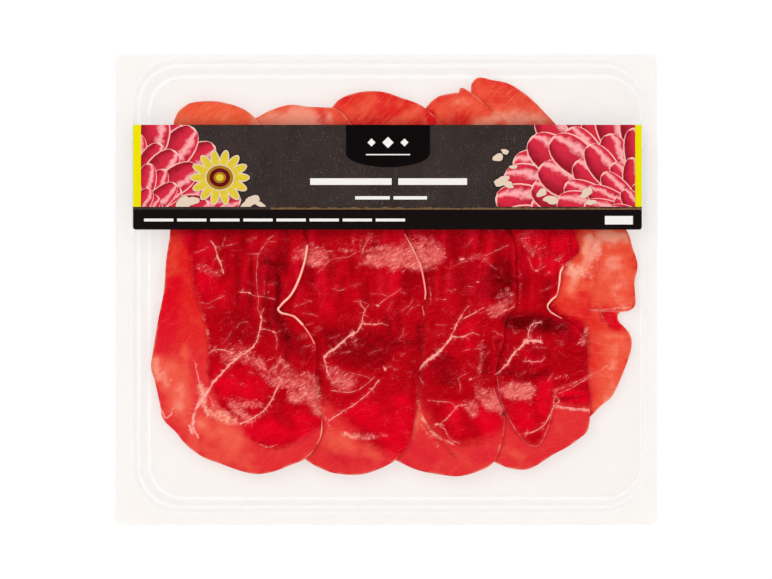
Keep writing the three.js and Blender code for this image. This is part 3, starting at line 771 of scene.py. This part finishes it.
def withVeins(m, colour):
    # veins and seams, frayed at their edges
    half = calc("MAXIMUM", m["veinHalf"], hair["half"])
    near = calc("MAXIMUM", calc("ABSOLUTE", m["veinSide"]), calc("SUBTRACT", plus(m["vein"], half), 0.45))
    fray = spread(m["fray"], 2)
    out = plus(calc("DIVIDE", near, half), plus(fray, spread(m["swell"], 3, 0.1)))
    whole = fade(half, 0.1, 0.45, 0.2, 0.8)
    strength = times(fade(half, 0.08, 0.40, 0.34, 0.92), fade(m["gaps"], 0.38, 0.54, whole, 1.0))
    border = plus(m["seam"], times(fray, 0.12))
    return paintOver(colour, [
        (fade(m["vein"], 1.6, 0.0, 0, 0.10), "fineFat"), (times(fade(out, 1.7, 0.7), strength), "fat"),
        (times(fade(out, 1.05, 0.25), strength), "fatCore"), (fade(border, 0.16, -0.10), "fat"),
        (fade(border, -0.05, -0.35), "seam")])


def meatMaterial(shape):
    mat, tree, shader = newMaterial(shape["name"] + "Meat")
    m = meatFields(tree, shape)
    colour = mix(m["deep"], thinMeat(m, shape), thickMeat(m))
    # painted shade in the valleys and creases, with darker tone at random from the cloud and wander noise
    shadeAndMottle = plus(m["valleyShade"], plus(times(m["lean"], 0.45), times(m["wander"], 0.2)))
    colour = mix(fade(shadeAndMottle, 0.05, 1.0), colour, mix(m["deep"], meat["thinDark"], meat["dark"]))
    for addLayer in (withFibres, withMarbling, withShine, withVeins):
        colour = addLayer(m, colour)
    # the cut edge is a little paler here and there
    edge = times(fade(m["rim"], 0.9, 0.1, 0, 0.5), fade(m["cloud"], 0.42, 0.58))
    colour = mix(edge, colour, mix(m["deep"], meat["pale"], meat["flush"]))
    setLook(shader, colour, fade(m["drift"], 0.3, 0.7, *meat["roughness"]), meat["specular"])
    bumps = plus(times(m["fibre"], 0.5), times(m["speck"], 0.15))
    relief(shader, bumps, meat["reliefStrength"], meat["reliefDepth"])
    return mat


def heading(a):
    return np.array((math.cos(a), math.sin(a)))


def withTwigs(veins, seed):
    # thick veins carry short side branches
    rng = np.random.default_rng(seed)
    rows = list(veins)
    for half, path in veins:
        line = smoothLine(path)
        run = np.hypot(*np.diff(line, axis=0).T).sum()
        if half < twigs["veinHalf"] or run < twigs["veinRun"]:
            continue
        for _ in range(int(run * twigs["perMm"])):
            i = rng.integers(1, len(line))
            way = line[i] - line[i - 1]
            a = math.atan2(way[1], way[0]) + rng.choice((-1, 1)) * rng.uniform(*twigs["turn"])
            foot = line[i - 1] + way * rng.random()
            tip = foot + (half + rng.uniform(*twigs["reach"])) * heading(a)
            rows.append((twigs["half"], [foot, tip]))
    return rows


def hairs(shape, seed):
    # fine forked threads of fat, scattered over the core
    rng = np.random.default_rng(seed)
    core = smoothLoop(shape["core"], 2)
    low, high = core.min(0), core.max(0)
    starts = rng.uniform(low, high, (int(hair["perSquareMm"] * np.prod(high - low)), 2))
    inside = signedDistance(starts, core) > hair["inside"]
    clear = brush(starts, scarletStrokes) < hair["offScarlet"]
    rows = []
    for start in starts[inside & clear]:
        a = rng.normal(*hair["turn"])
        path = [start]
        for _ in range(rng.integers(*hair["steps"])):
            a += rng.normal(0, hair["bend"])
            path.append(path[-1] + rng.uniform(*hair["step"]) * heading(a))
        a += rng.choice((-1, 1)) * rng.uniform(*hair["forkTurn"])
        fork = [path[1], path[1] + rng.uniform(*hair["fork"]) * heading(a)]
        rows += [(hair["half"], path), (hair["half"], fork)]
    return rows


def lineField(xy, rows):
    # of the nearest line: distance from its edge, signed distance from its middle, half width
    farAway, plainHalf = 9.0, 0.2
    edge, side, width = (np.full(len(xy), v) for v in (farAway, farAway, plainHalf))
    for half, line in rows:
        for p, q in zip(line, line[1:]):
            way, off = q - p, xy - p
            away = distanceToStretch(off, way)
            nearer = away - half < edge
            edge = np.where(nearer, away - half, edge)
            side = np.where(nearer, away * np.sign(way[0] * off[:, 1] - way[1] * off[:, 0]), side)
            width = np.where(nearer, half, width)
    return edge, side, width


def sliceSheet(shape, loop):
    # a square grid is pulled to a disc, and the disc out to the outline
    cx, cy = shape["centre"]
    dx, dy = (loop - (cx, cy)).T
    turns = np.arctan2(dy, dx) % fullTurn
    order = np.argsort(turns)
    turns = np.concatenate([turns[order] + k * fullTurn for k in (-1, 0, 1)])
    reaches = np.tile(np.hypot(dx, dy)[order], 3)
    width, length = loop.max(0) - loop.min(0)
    bm = bmesh.new()
    bmesh.ops.create_grid(bm, x_segments=int(width / meat["grid"]),
                          y_segments=int(length / meat["grid"]), size=1)
    for v in bm.verts:
        u, w = v.co.x, v.co.y
        x, y = u * math.sqrt(1 - w * w / 2), w * math.sqrt(1 - u * u / 2)
        a = math.atan2(y * length, x * width)
        reach = np.interp(a, turns, reaches) * math.hypot(x, y)
        v.co.x, v.co.y = cx + reach * math.cos(a), cy + reach * math.sin(a)
    return bm


def flatPlaces(bm):
    return np.array([v.co.xy for v in bm.verts])


def refineAlong(bm, lines):
    for near in meat["fineWithin"]:
        xy = flatPlaces(bm)
        close = np.zeros(len(xy), bool)
        for half, line in lines:
            close |= distanceToLine(xy, line) < near + half
        bm.verts.ensure_lookup_table()
        chosen = [e for e in bm.edges if close[e.verts[0].index] or close[e.verts[1].index]]
        bmesh.ops.subdivide_edges(bm, edges=chosen, cuts=1, use_grid_fill=True)
        bm.verts.index_update()


def makeSlice(shape, index):
    loop = smoothLoop(shape["outline"])
    bm = sliceSheet(shape, loop)
    rng = np.random.default_rng(20 + index)
    veins = []
    for half, points in withTwigs(shape["veins"], index):
        line = smoothLine(points)
        line[1:-1] += rng.normal(0, meat["wobble"], line[1:-1].shape)
        veins.append((max(meat["thinnest"], meat["veinWidth"] * half), line))
    seams = [(half, smoothLine(points)) for half, points in shape["seams"]]
    refineAlong(bm, veins + seams)
    xy = flatPlaces(bm)
    rim = distanceToLine(xy, loop, closed=True)
    # painted shade of the valleys, which also lowers the surface there
    valleyShade = brush(xy, valleyShadeStrokes, valleyShadePatches)
    heights = bedHeight(xy[:, 0], xy[:, 1], index) + bed["thickness"]
    heights -= meat["sink"] * (np.exp(-rim / meat["sinkWidth"]) + valleyShade)
    for v, height in zip(bm.verts, heights):
        v.co.z = height
    toMetres(bm, faceUp=True)
    piece = addPiece(shape["name"], bm, [meatMaterial(shape)], "slice_%d" % (index + 1))
    addWall(piece, meat["wall"])
    values = [signedDistance(xy, smoothLoop(shape["core"], 4)),
              *lineField(xy, veins + hairs(shape, 50 + index)), lineField(xy, seams)[0], rim, valleyShade,
              brush(xy, shineStrokes, shinePatches, meat["shineTilt"]),
              brush(xy, scarletStrokes), brush(xy, glowStrokes)]
    for name, value in zip(meatValues, values):
        storeValues(piece, name, value.astype(np.float32))
    return piece


for index, shape in enumerate(sliceShapes):
    piece = makeSlice(shape, index)
    print(shape["name"], "made,", len(piece.data.polygons), "faces")


tray = {  # rings are left, right, bottom, top and corner radius, in mm
    "flange": (-115, 115, -100, 100, 3), "cutEdge": (-114.5, 114.5, -99.5, 99.5, 2.7),
    "rim": (-107.9, 110.8, -94.8, 98.2, 19.5), "base": (-101.6, 109.0, -89.6, 91.4, 15),
    "height": 10.0, "wall": 0.45, "cornerSteps": 16,
    # share of the way from rim to base, height, look of the band up to the next level
    "levels": [(-0.16, 10.0, 1), (-0.02, 9.97, 2), (0.08, 9.1, 0), (0.26, 6.9, 0), (0.34, 6.15, 2),
               (0.48, 5.95, 0), (0.60, 5.75, 1), (0.66, 5.25, 0), (0.78, 3.35, 0), (0.88, 1.7, 0),
               (0.96, 0.85, 2), (1.16, 0.56, 0), (1.26, 0.5, 0)],
    # sheet, bends and glints, the glints being white bands painted as highlights on the walls: tone, alpha,
    # roughness
    "looks": {"trayPlastic": (tone(228, 200, 174), 0.09, 0.2), "trayBend": (tone(222, 208, 196), 0.09, 0.4),
              "trayGlint": (tone(255, 255, 255), 0.12, 0.4)},
}


def ringPoint(ring, k, steps):
    left, right, bottom, top, r = ring
    quarter, step = divmod(k, steps + 1)
    x = (right - r) if quarter in (0, 3) else (left + r)
    y = (top - r) if quarter in (0, 1) else (bottom + r)
    a = (quarter + step / steps) * math.pi / 2
    return x + r * math.cos(a), y + r * math.sin(a)


def ringBetween(a, b, share):
    return tuple(p + (q - p) * share for p, q in zip(a, b))


def byAngle(bm):
    return sorted(bm.verts, key=lambda v: math.atan2(v.co.y, v.co.x) % fullTurn)


def placeKey(v):
    return tuple(round(c, 4) for c in v.co)


def sheetOfRings(rings, steps, bands):
    # a circle pulled onto the first ring, then its edge is extruded from ring to ring
    bm = bmesh.new()
    bmesh.ops.create_circle(bm, cap_ends=False, segments=4 * (steps + 1), radius=1)
    verts, edges = byAngle(bm), list(bm.edges)
    ring, height = rings[0]
    for k, v in enumerate(verts):
        v.co = (*ringPoint(ring, k, steps), height)
    for (ring, height), band in zip(rings[1:], bands):
        made = bmesh.ops.extrude_edge_only(bm, edges=edges)["geom"]
        for face in (g for g in made if isinstance(g, bmesh.types.BMFace)):
            face.material_index = band
        fresh = [g for g in made if isinstance(g, bmesh.types.BMVert)]
        edges = [g for g in made if isinstance(g, bmesh.types.BMEdge) and all(v in fresh for v in g.verts)]
        # each new vertex sits on an old one, so its number is found by place
        numbers = {placeKey(v): k for k, v in enumerate(verts)}
        verts = sorted(fresh, key=lambda v: numbers[placeKey(v)])
        for k, v in enumerate(verts):
            v.co = (*ringPoint(ring, k, steps), height)
    bmesh.ops.contextual_create(bm, geom=edges)
    return bm


def clearPlastic(name, colour, alpha, roughness, waviness=0.0):
    mat, tree, shader = newMaterial(name)
    across = place(tree)
    duller = tuple(c * 0.97 for c in colour[:3]) + (1,)
    setLook(shader, mix(noise(across, 30, 2), colour, duller),
            fade(noise(across, 8, 2), 0.3, 0.7, roughness, roughness * 1.6), alpha=alpha)
    relief(shader, noise(across, 22, 2), waviness, 0.6)
    return mat


rings = [(tray["flange"], tray["height"]), (tray["cutEdge"], tray["height"])]
rings += [(ringBetween(tray["rim"], tray["base"], share), height) for share, height, band in tray["levels"]]
bands = [1, 0] + [band for share, height, band in tray["levels"][:-1]]
bm = sheetOfRings(rings, tray["cornerSteps"], bands)
toMetres(bm, faceUp=True)
looks = [clearPlastic(name, *look) for name, look in tray["looks"].items()]
addWall(addPiece("clearTray", bm, looks, "tray"), tray["wall"])
print("tray made")


film = {
    "ring": tray["flange"], "top": 10.16, "thickness": 0.12, "cells": (92, 80),
    # the middle sags in waves and is flat again at these distances from the centre
    "sag": 0.10, "flatAt": (106, 92), "waves": (0.11, 0.07),
    "tone": tone(30, 30, 30), "alpha": 0.015, "roughness": 0.06, "waviness": 0.05,
}


def filmSheet():
    bm = bmesh.new()
    bmesh.ops.create_grid(bm, x_segments=film["cells"][0], y_segments=film["cells"][1], size=1)
    _, right, _, top, radius = film["ring"]
    for v in bm.verts:
        x, y = v.co.x * right, v.co.y * top
        dx, dy = abs(x) - (right - radius), abs(y) - (top - radius)
        if dx > 0 and dy > 0 and math.hypot(dx, dy) > radius:  # round the corners off
            pull = radius / math.hypot(dx, dy)
            x = math.copysign(right - radius + dx * pull, x)
            y = math.copysign(top - radius + dy * pull, y)
        inner = max(0.0, 1 - max(abs(x) / film["flatAt"][0], abs(y) / film["flatAt"][1]) ** 6)
        wave = 1 + math.sin(x * film["waves"][0] + y * film["waves"][1])
        v.co = (x, y, film["top"] - film["sag"] * inner * wave)
    return bm


bm = filmSheet()
toMetres(bm)
look = clearPlastic("filmPlastic", film["tone"], film["alpha"], film["roughness"], film["waviness"])
addWall(addPiece("lidFilm", bm, [look], "lid_film"), film["thickness"])
print("film made")


label = {
    "ring": (-107.4, 108.6, 25.4, 69.9, 1.6), "top": 10.31, "thickness": 0.12, "inkThickness": 0.012,
    "field": (-104.0, 105.7, 35.1, 69.9), "stripTop": 33.9, "stripCorner": 1.2, "gloss": 0.03,
    # lift of each coat of ink above the label, in mm
    "ground": 0.02, "petals": 0.02, "petalStep": 0.0045, "bars": 0.04,
    "flecks": 0.66, "fleckStep": 0.001, "daisy": 0.73,
}


def printInk(name, colour, roughness=0.45, mottling=0.08, blot=3.0):
    mat, tree, shader = newMaterial(name)
    cloud = noise(place(tree), blot, 4)
    darker = tuple(c * (1 - 4 * mottling) for c in colour[:3]) + (1,)
    setLook(shader, mix(cloud, darker, colour), fade(cloud, 0.3, 0.7, roughness, roughness + 0.1),
            label["gloss"])
    return mat


def slateInk(name):
    # dark stone with two sets of faint scratches and some dust
    mat, tree, shader = newMaterial(name)
    across = place(tree)
    cloud = noise(across, 16, 5, 0.6)
    colour = mix(cloud, tone(36, 28, 26), tone(64, 53, 50))
    for turn, shift in ((1.35, 0.013), (1.75, 0.041)):
        scratch = fade(noise(place(tree, 9, turn, (shift, shift, 0)), 0.4, 3, 0.7), 0.60, 0.74)
        gate = fade(noise(across, 9 + 100 * shift, 2), 0.46, 0.60, 0, 0.55)
        colour = mix(times(scratch, gate), colour, tone(126, 118, 112))
    dust = fade(noise(across, 0.5, 2, 0.7), 0.64, 0.76, 0, 0.6)
    colour = mix(dust, colour, tone(150, 142, 136))
    setLook(shader, colour, fade(cloud, 0.3, 0.7, 0.42, 0.55), label["gloss"])
    return mat


def petalInk(name):
    # dark at the root and to one side, with a band of sheen and a pale brim
    mat, tree, shader = newMaterial(name)
    along, side = stored(tree, "along"), stored(tree, "across")
    wander = spread(noise(place(tree), 2.5, 3), 0.7)
    colour = mix(fade(plus(along, wander), 0.10, 0.75), tone(138, 8, 30), tone(206, 40, 62))
    colour = mix(fade(plus(side, wander), 0.1, 0.9, 0, 0.75), colour, tone(120, 6, 24))
    sheen = fade(calc("ABSOLUTE", plus(plus(side, 0.42), wander)), 0.36, 0.0, 0, 0.85)
    colour = mix(times(sheen, fade(along, 0.1, 0.5)), colour, tone(250, 176, 178))
    brim = calc("MAXIMUM", fade(calc("ABSOLUTE", side), 0.88, 0.97), fade(along, 0.955, 0.985))
    setLook(shader, mix(brim, colour, tone(246, 190, 180)), 0.42, label["gloss"])
    return mat


inks = {
    "petal": petalInk("labelPetal"), "slate": slateInk("labelSlate"),
    "strip": printInk("labelStrip", tone(20, 11, 12)),
    "yellow": printInk("labelYellow", tone(228, 217, 0), 0.4, 0.01),
    "torn": printInk("labelTorn", tone(150, 112, 76), 0.5, 0.22, 1.0),
    "tab": printInk("labelTab", tone(10, 4, 5)),
    "white": printInk("labelWhite", tone(238, 234, 230), 0.4, 0.02),
    "wine": printInk("labelWine", tone(112, 14, 28), 0.4, 0.12),
    "cream": printInk("labelCream", tone(232, 208, 186), 0.4, 0.06, 1.0),
    "amber": printInk("labelAmber", tone(186, 134, 22), 0.35, 0.12, 4.0),
    "gold": printInk("labelGold", tone(232, 204, 58), 0.35, 0.08, 2.0),
}
petalValues = {"along": [], "across": []}


def press(target, bm, ink, clip=None, thickness=label["inkThickness"]):
    # trims one shape of the print, gives it a hair of thickness and adds it to the label
    if clip:
        x0, x1, y0, y1 = clip
        for spot, out in (((x0, 0, 0), (-1, 0, 0)), ((x1, 0, 0), (1, 0, 0)),
                          ((0, y0, 0), (0, -1, 0)), ((0, y1, 0), (0, 1, 0))):
            bmesh.ops.bisect_plane(bm, geom=bm.verts[:] + bm.edges[:] + bm.faces[:], plane_co=spot,
                                   plane_no=out, clear_outer=True)
    for f in bm.faces:
        f.material_index = list(inks).index(ink)
    raised = bmesh.ops.extrude_face_region(bm, geom=bm.faces[:])["geom"]
    bmesh.ops.translate(bm, vec=(0, 0, thickness),
                        verts=[g for g in raised if isinstance(g, bmesh.types.BMVert)])
    bmesh.ops.recalc_face_normals(bm, faces=bm.faces)
    for name, values in petalValues.items():
        layer = bm.verts.layers.float.get(name)
        values.extend(v[layer] if layer else 0.0 for v in bm.verts)
    mesh = meshFrom("stamp", bm)
    target.from_mesh(mesh)
    bpy.data.meshes.remove(mesh)


def stamp(target, loop, lift, ink, clip=None, thickness=label["inkThickness"]):
    bm = bmesh.new()
    bmesh.ops.create_circle(bm, cap_ends=True, segments=len(loop), radius=1)
    for v, (x, y) in zip(byAngle(bm), loop):
        v.co = (x, y, label["top"] + lift)
    press(target, bm, ink, clip, thickness)


def petal(target, root, turn, length, width, bend, lift, clip):
    # a bent leaf shape that knows how far along and across it each point lies
    bm = bmesh.new()
    bmesh.ops.create_grid(bm, x_segments=12, y_segments=8, size=1)
    along, across = (bm.verts.layers.float.new(name) for name in petalValues)
    for v in bm.verts:
        u, side = 0.5 + 0.485 * v.co.x, v.co.y
        t = (1 - math.cos(math.pi * u)) / 2
        v[along], v[across] = t, side
        a = turn + bend * t
        off = side * width / 2 * math.sin(math.pi * u) * (0.7 + 0.3 * t)
        x = root[0] + length / bend * (math.sin(a) - math.sin(turn)) - off * math.sin(a)
        y = root[1] - length / bend * (math.cos(a) - math.cos(turn)) + off * math.cos(a)
        v.co = (x, y, label["top"] + lift)
    press(target, bm, "petal", clip)


def box(x0, x1, y0, y1):
    return [(x1, y1), (x0, y1), (x0, y0), (x1, y0)]


def roundBox(ring, steps):
    return [ringPoint(ring, k, steps) for k in range(4 * (steps + 1))]


def oval(x, y, rx, ry, turn=0.0, count=40, wobble=0.0, seed=0):
    phase = np.random.default_rng(seed).uniform(0, 6.28, 3)
    c, s = math.cos(turn), math.sin(turn)
    points = []
    for k in range(count):
        a = fullTurn * k / count
        waves = sum(share * math.sin(n * a + p) for n, share, p in zip((2, 3, 5), (1, 0.6, 0.4), phase))
        r = 1 + wobble * waves
        u, v = rx * r * math.cos(a), ry * r * math.sin(a)
        points.append((x + u * c - v * s, y + u * s + v * c))
    return points


# the ground: slate, the dark strip with a torn edge above it, a yellow stripe at both ends
left, right, bottom, top = label["ring"][:4]
field = label["field"]
x0, x1, y0, y1 = field
bm = bmesh.new()
stamp(bm, roundBox(label["ring"], 6), -label["thickness"], "slate", thickness=label["thickness"])
strip = (left, right, bottom, label["stripTop"], label["stripCorner"])
stamp(bm, roundBox(strip, 4), label["ground"], "strip")
torn = {"from": right, "to": -49, "pitch": 1.3, "y": 34.7, "ragged": 0.35, "low": (34.0, 33.8)}
rng = np.random.default_rng(8)
edge = [(x, torn["y"] + torn["ragged"] * rng.uniform(-1, 1))
        for x in np.arange(torn["from"], torn["to"], -torn["pitch"])]
stamp(bm, edge + [(torn["to"], torn["low"][0]), (torn["from"], torn["low"][1])], label["ground"], "torn")
stamp(bm, box(left, x0, y0, y1), label["ground"], "yellow")
stamp(bm, box(x1, right, y0, y1), label["ground"], "yellow")

# a fan of petals in both lower corners, the outer rings below the inner ones
petals = {  # longest, pitch as a share of the width; how far turn, length, start, bend and width vary
    "longest": 27, "pitch": 0.62, "turn": (-0.05, 0.05), "length": (0.94, 1.06), "start": (0.94, 1.03),
    "bend": (0.15, 0.5), "width": (0.9, 1.1),
}
fans = [  # foot, first and last turn, reach and petal width of each ring
    {"foot": (-108, 31), "turns": (-0.1, 1.75), "rings": ((46, 15), (35, 14), (24, 11), (14, 9))},
    {"foot": (109, 31), "turns": (1.45, 3.25), "rings": ((62, 18), (50, 17), (38, 15), (26, 12), (15, 9))},
]
rng = np.random.default_rng(33)
made = 0
for fan in fans:
    first, last = fan["turns"]
    for reach, width in fan["rings"]:
        steps = round((last - first) * reach / (petals["pitch"] * width))
        for k in rng.permutation(steps + 1):
            turn = first + (last - first) * k / steps + rng.uniform(*petals["turn"])
            length = min(reach, petals["longest"]) * rng.uniform(*petals["length"])
            start = reach * rng.uniform(*petals["start"]) - length
            root = fan["foot"] + start * heading(turn)
            bend = rng.choice((-1, 1)) * rng.uniform(*petals["bend"])
            lift = label["petals"] + label["petalStep"] * made
            wide = width * rng.uniform(*petals["width"])
            petal(bm, root, turn - bend / 2, length, wide, bend, lift, field)
            made += 1
print(made, "petals pressed")

# a gold daisy in front of the left fan: cream petals below gold ones, then rings of ink
daisy = {
    "x": -70.5, "y": 47.5, "petals": 14, "reach": (8.2, 7.4),
    "layers": ((4.6, 2.0, 0.640, "cream"), (4.1, 1.5, 0.655, "gold")), "step": 0.0005,
    "rings": ((6.2, "cream"), (5.7, "amber"), (4.4, "wine"), (2.6, "amber"), (1.6, "gold")),
    "squash": 0.9, "ringStep": 0.008,  # smaller rings lie higher
}
for rx, ry, lift, ink in daisy["layers"]:
    for k in range(daisy["petals"]):
        a = fullTurn * k / daisy["petals"]
        x = daisy["x"] + daisy["reach"][0] * math.cos(a)
        y = daisy["y"] + daisy["reach"][1] * math.sin(a)
        stamp(bm, oval(x, y, rx, ry, a, 20), lift + daisy["step"] * k, ink, field)
for r, ink in daisy["rings"]:
    loop = oval(daisy["x"], daisy["y"], r, r * daisy["squash"])
    stamp(bm, loop, label["daisy"] - daisy["ringStep"] * r, ink, field)

fleck = {"squash": 0.55, "turn": (-0.5, 0.5), "corners": 16, "wobble": 0.16}
flecks = [  # cream flecks: x, y, half length
    (-86, 36.5, 4.2), (-82, 37.5, 3.0), (-57.5, 37.2, 4.0), (-53.5, 36.2, 2.2), (47.5, 56, 2.6),
    (50.5, 58.5, 1.8), (49, 46, 3.4), (52, 44.5, 2.4), (66, 41, 2.6), (70, 38, 3.2), (85, 41, 3.0),
    (87, 37, 2.2), (54, 52, 1.6),
]
rng = np.random.default_rng(4)
for k, (x, y, r) in enumerate(flecks):
    loop = oval(x, y, r, r * fleck["squash"], rng.uniform(*fleck["turn"]), fleck["corners"],
                fleck["wobble"], 100 + k)
    stamp(bm, loop, label["flecks"] + label["fleckStep"] * k, "cream", field)

# a plain dark tab with a round foot, three diamonds and a line
tab = {
    "x": 0.85, "half": 17.85, "y": 57.8, "drop": 5.9, "steps": 24, "diamondY": 62.4,
    "diamonds": ((-7, 1.7), (0, 2.4), (7, 1.7)), "line": (-8.5, 10.2, 57.0, 57.5),
}
foot = [(tab["x"] + tab["half"] * math.cos(a), tab["y"] + tab["drop"] * math.sin(a))
        for a in np.linspace(math.pi, fullTurn, tab["steps"])]
stamp(bm, [(tab["x"] + tab["half"], top), (tab["x"] - tab["half"], top)] + foot, label["ground"], "tab")
for dx, r in tab["diamonds"]:
    stamp(bm, oval(tab["x"] + dx, tab["diamondY"], r, r, count=4), label["bars"], "white")
stamp(bm, box(*tab["line"]), label["bars"], "white")

# plain white bars: from and to along x, from and to along y, how many
bars = [
    (-32.2, 2.4, 44.4, 47.2, 1), (5.2, 34.4, 44.4, 47.2, 1), (-13.1, 1.6, 38.2, 39.6, 1),
    (3.2, 17.4, 38.2, 39.6, 1), (-102.7, 8.1, 28.9, 30.1, 8), (92.9, 104.8, 27.6, 31.2, 1),
]
barGap = 1.6
for x0, x1, y0, y1, number in bars:
    pitch = (x1 - x0 + barGap) / number
    for k in range(number):
        start = x0 + k * pitch
        stamp(bm, box(start, start + pitch - barGap, y0, y1), label["bars"], "white")
toMetres(bm)
labelPiece = addPiece("labelBand", bm, inks.values(), "label", smooth=False)
for name, values in petalValues.items():
    storeValues(labelPiece, name, values)
print("label made,", len(labelPiece.data.polygons), "faces")


stage = {
    "floorHalf": 2.0, "floorDrop": 0.0003, "floorGlow": 0.66,  # metres; the floor glows like a light table
    "cameraAway": 1.2, "frameWidth": 0.3276, "sensor": 36,
    "lights": {"keyLight": ((-0.9, 0.7, 1.1), 5.0), "fillLight": ((0.95, -0.5, 1.1), 3.0)}, "lightSize": 1.1,
    "skyStrength": 0.96, "plasticSheets": 32,  # layers of clear plastic that light may cross
}


def grey(v):
    return (v, v, v, 1)


bm = bmesh.new()
bmesh.ops.create_grid(bm, x_segments=1, y_segments=1, size=stage["floorHalf"])
bmesh.ops.translate(bm, vec=(0, 0, -stage["floorDrop"]), verts=bm.verts)
mat, tree, shader = newMaterial("floorPaper")
setLook(shader, mix(noise(place(tree), 300, 2), grey(0.34), grey(0.36)), 0.9, 0.0)
shader.inputs["Emission Color"].default_value = grey(1)
shader.inputs["Emission Strength"].default_value = stage["floorGlow"]
floor = newObject("floor", meshFrom("floor", bm, [mat]))

world = bpy.data.worlds.new("studio")
bpy.context.scene.world = world
world.use_nodes = True
sky = world.node_tree
way = sky.nodes.new("ShaderNodeTexCoord")
split = sky.nodes.new("ShaderNodeSeparateXYZ")
sky.links.new(way.outputs["Generated"], split.inputs[0])
up = split.outputs[2]
# most light falls from high up, but not from straight above
dome = mix(fade(up, 0.50, 0.78), grey(0.48), grey(1.42))
background = sky.nodes["Background"]
feed(background.inputs[0], mix(fade(up, 0.955, 0.985), dome, grey(0.2)))
background.inputs[1].default_value = stage["skyStrength"]

for name, (spot, power) in stage["lights"].items():
    lamp = bpy.data.lights.new(name, "AREA")
    lamp.size = stage["lightSize"]
    lamp.energy = power
    holder = newObject(name, lamp)
    holder.location = spot
    holder.rotation_euler = (-Vector(spot)).to_track_quat("-Z", "Y").to_euler()

lens = bpy.data.cameras.new("camera")
lens.sensor_width = stage["sensor"]
lens.lens = stage["sensor"] * stage["cameraAway"] / stage["frameWidth"]
lens.dof.use_dof = False
camera = newObject("camera", lens)
camera.location = (0, 0, stage["cameraAway"] + filmTop)
bpy.context.scene.camera = camera

view = bpy.context.scene.view_settings
view.view_transform = "Standard"
view.look = "None"
view.exposure = 0.0
bpy.context.scene.cycles.transparent_max_bounces = stage["plasticSheets"]
print("stage made")
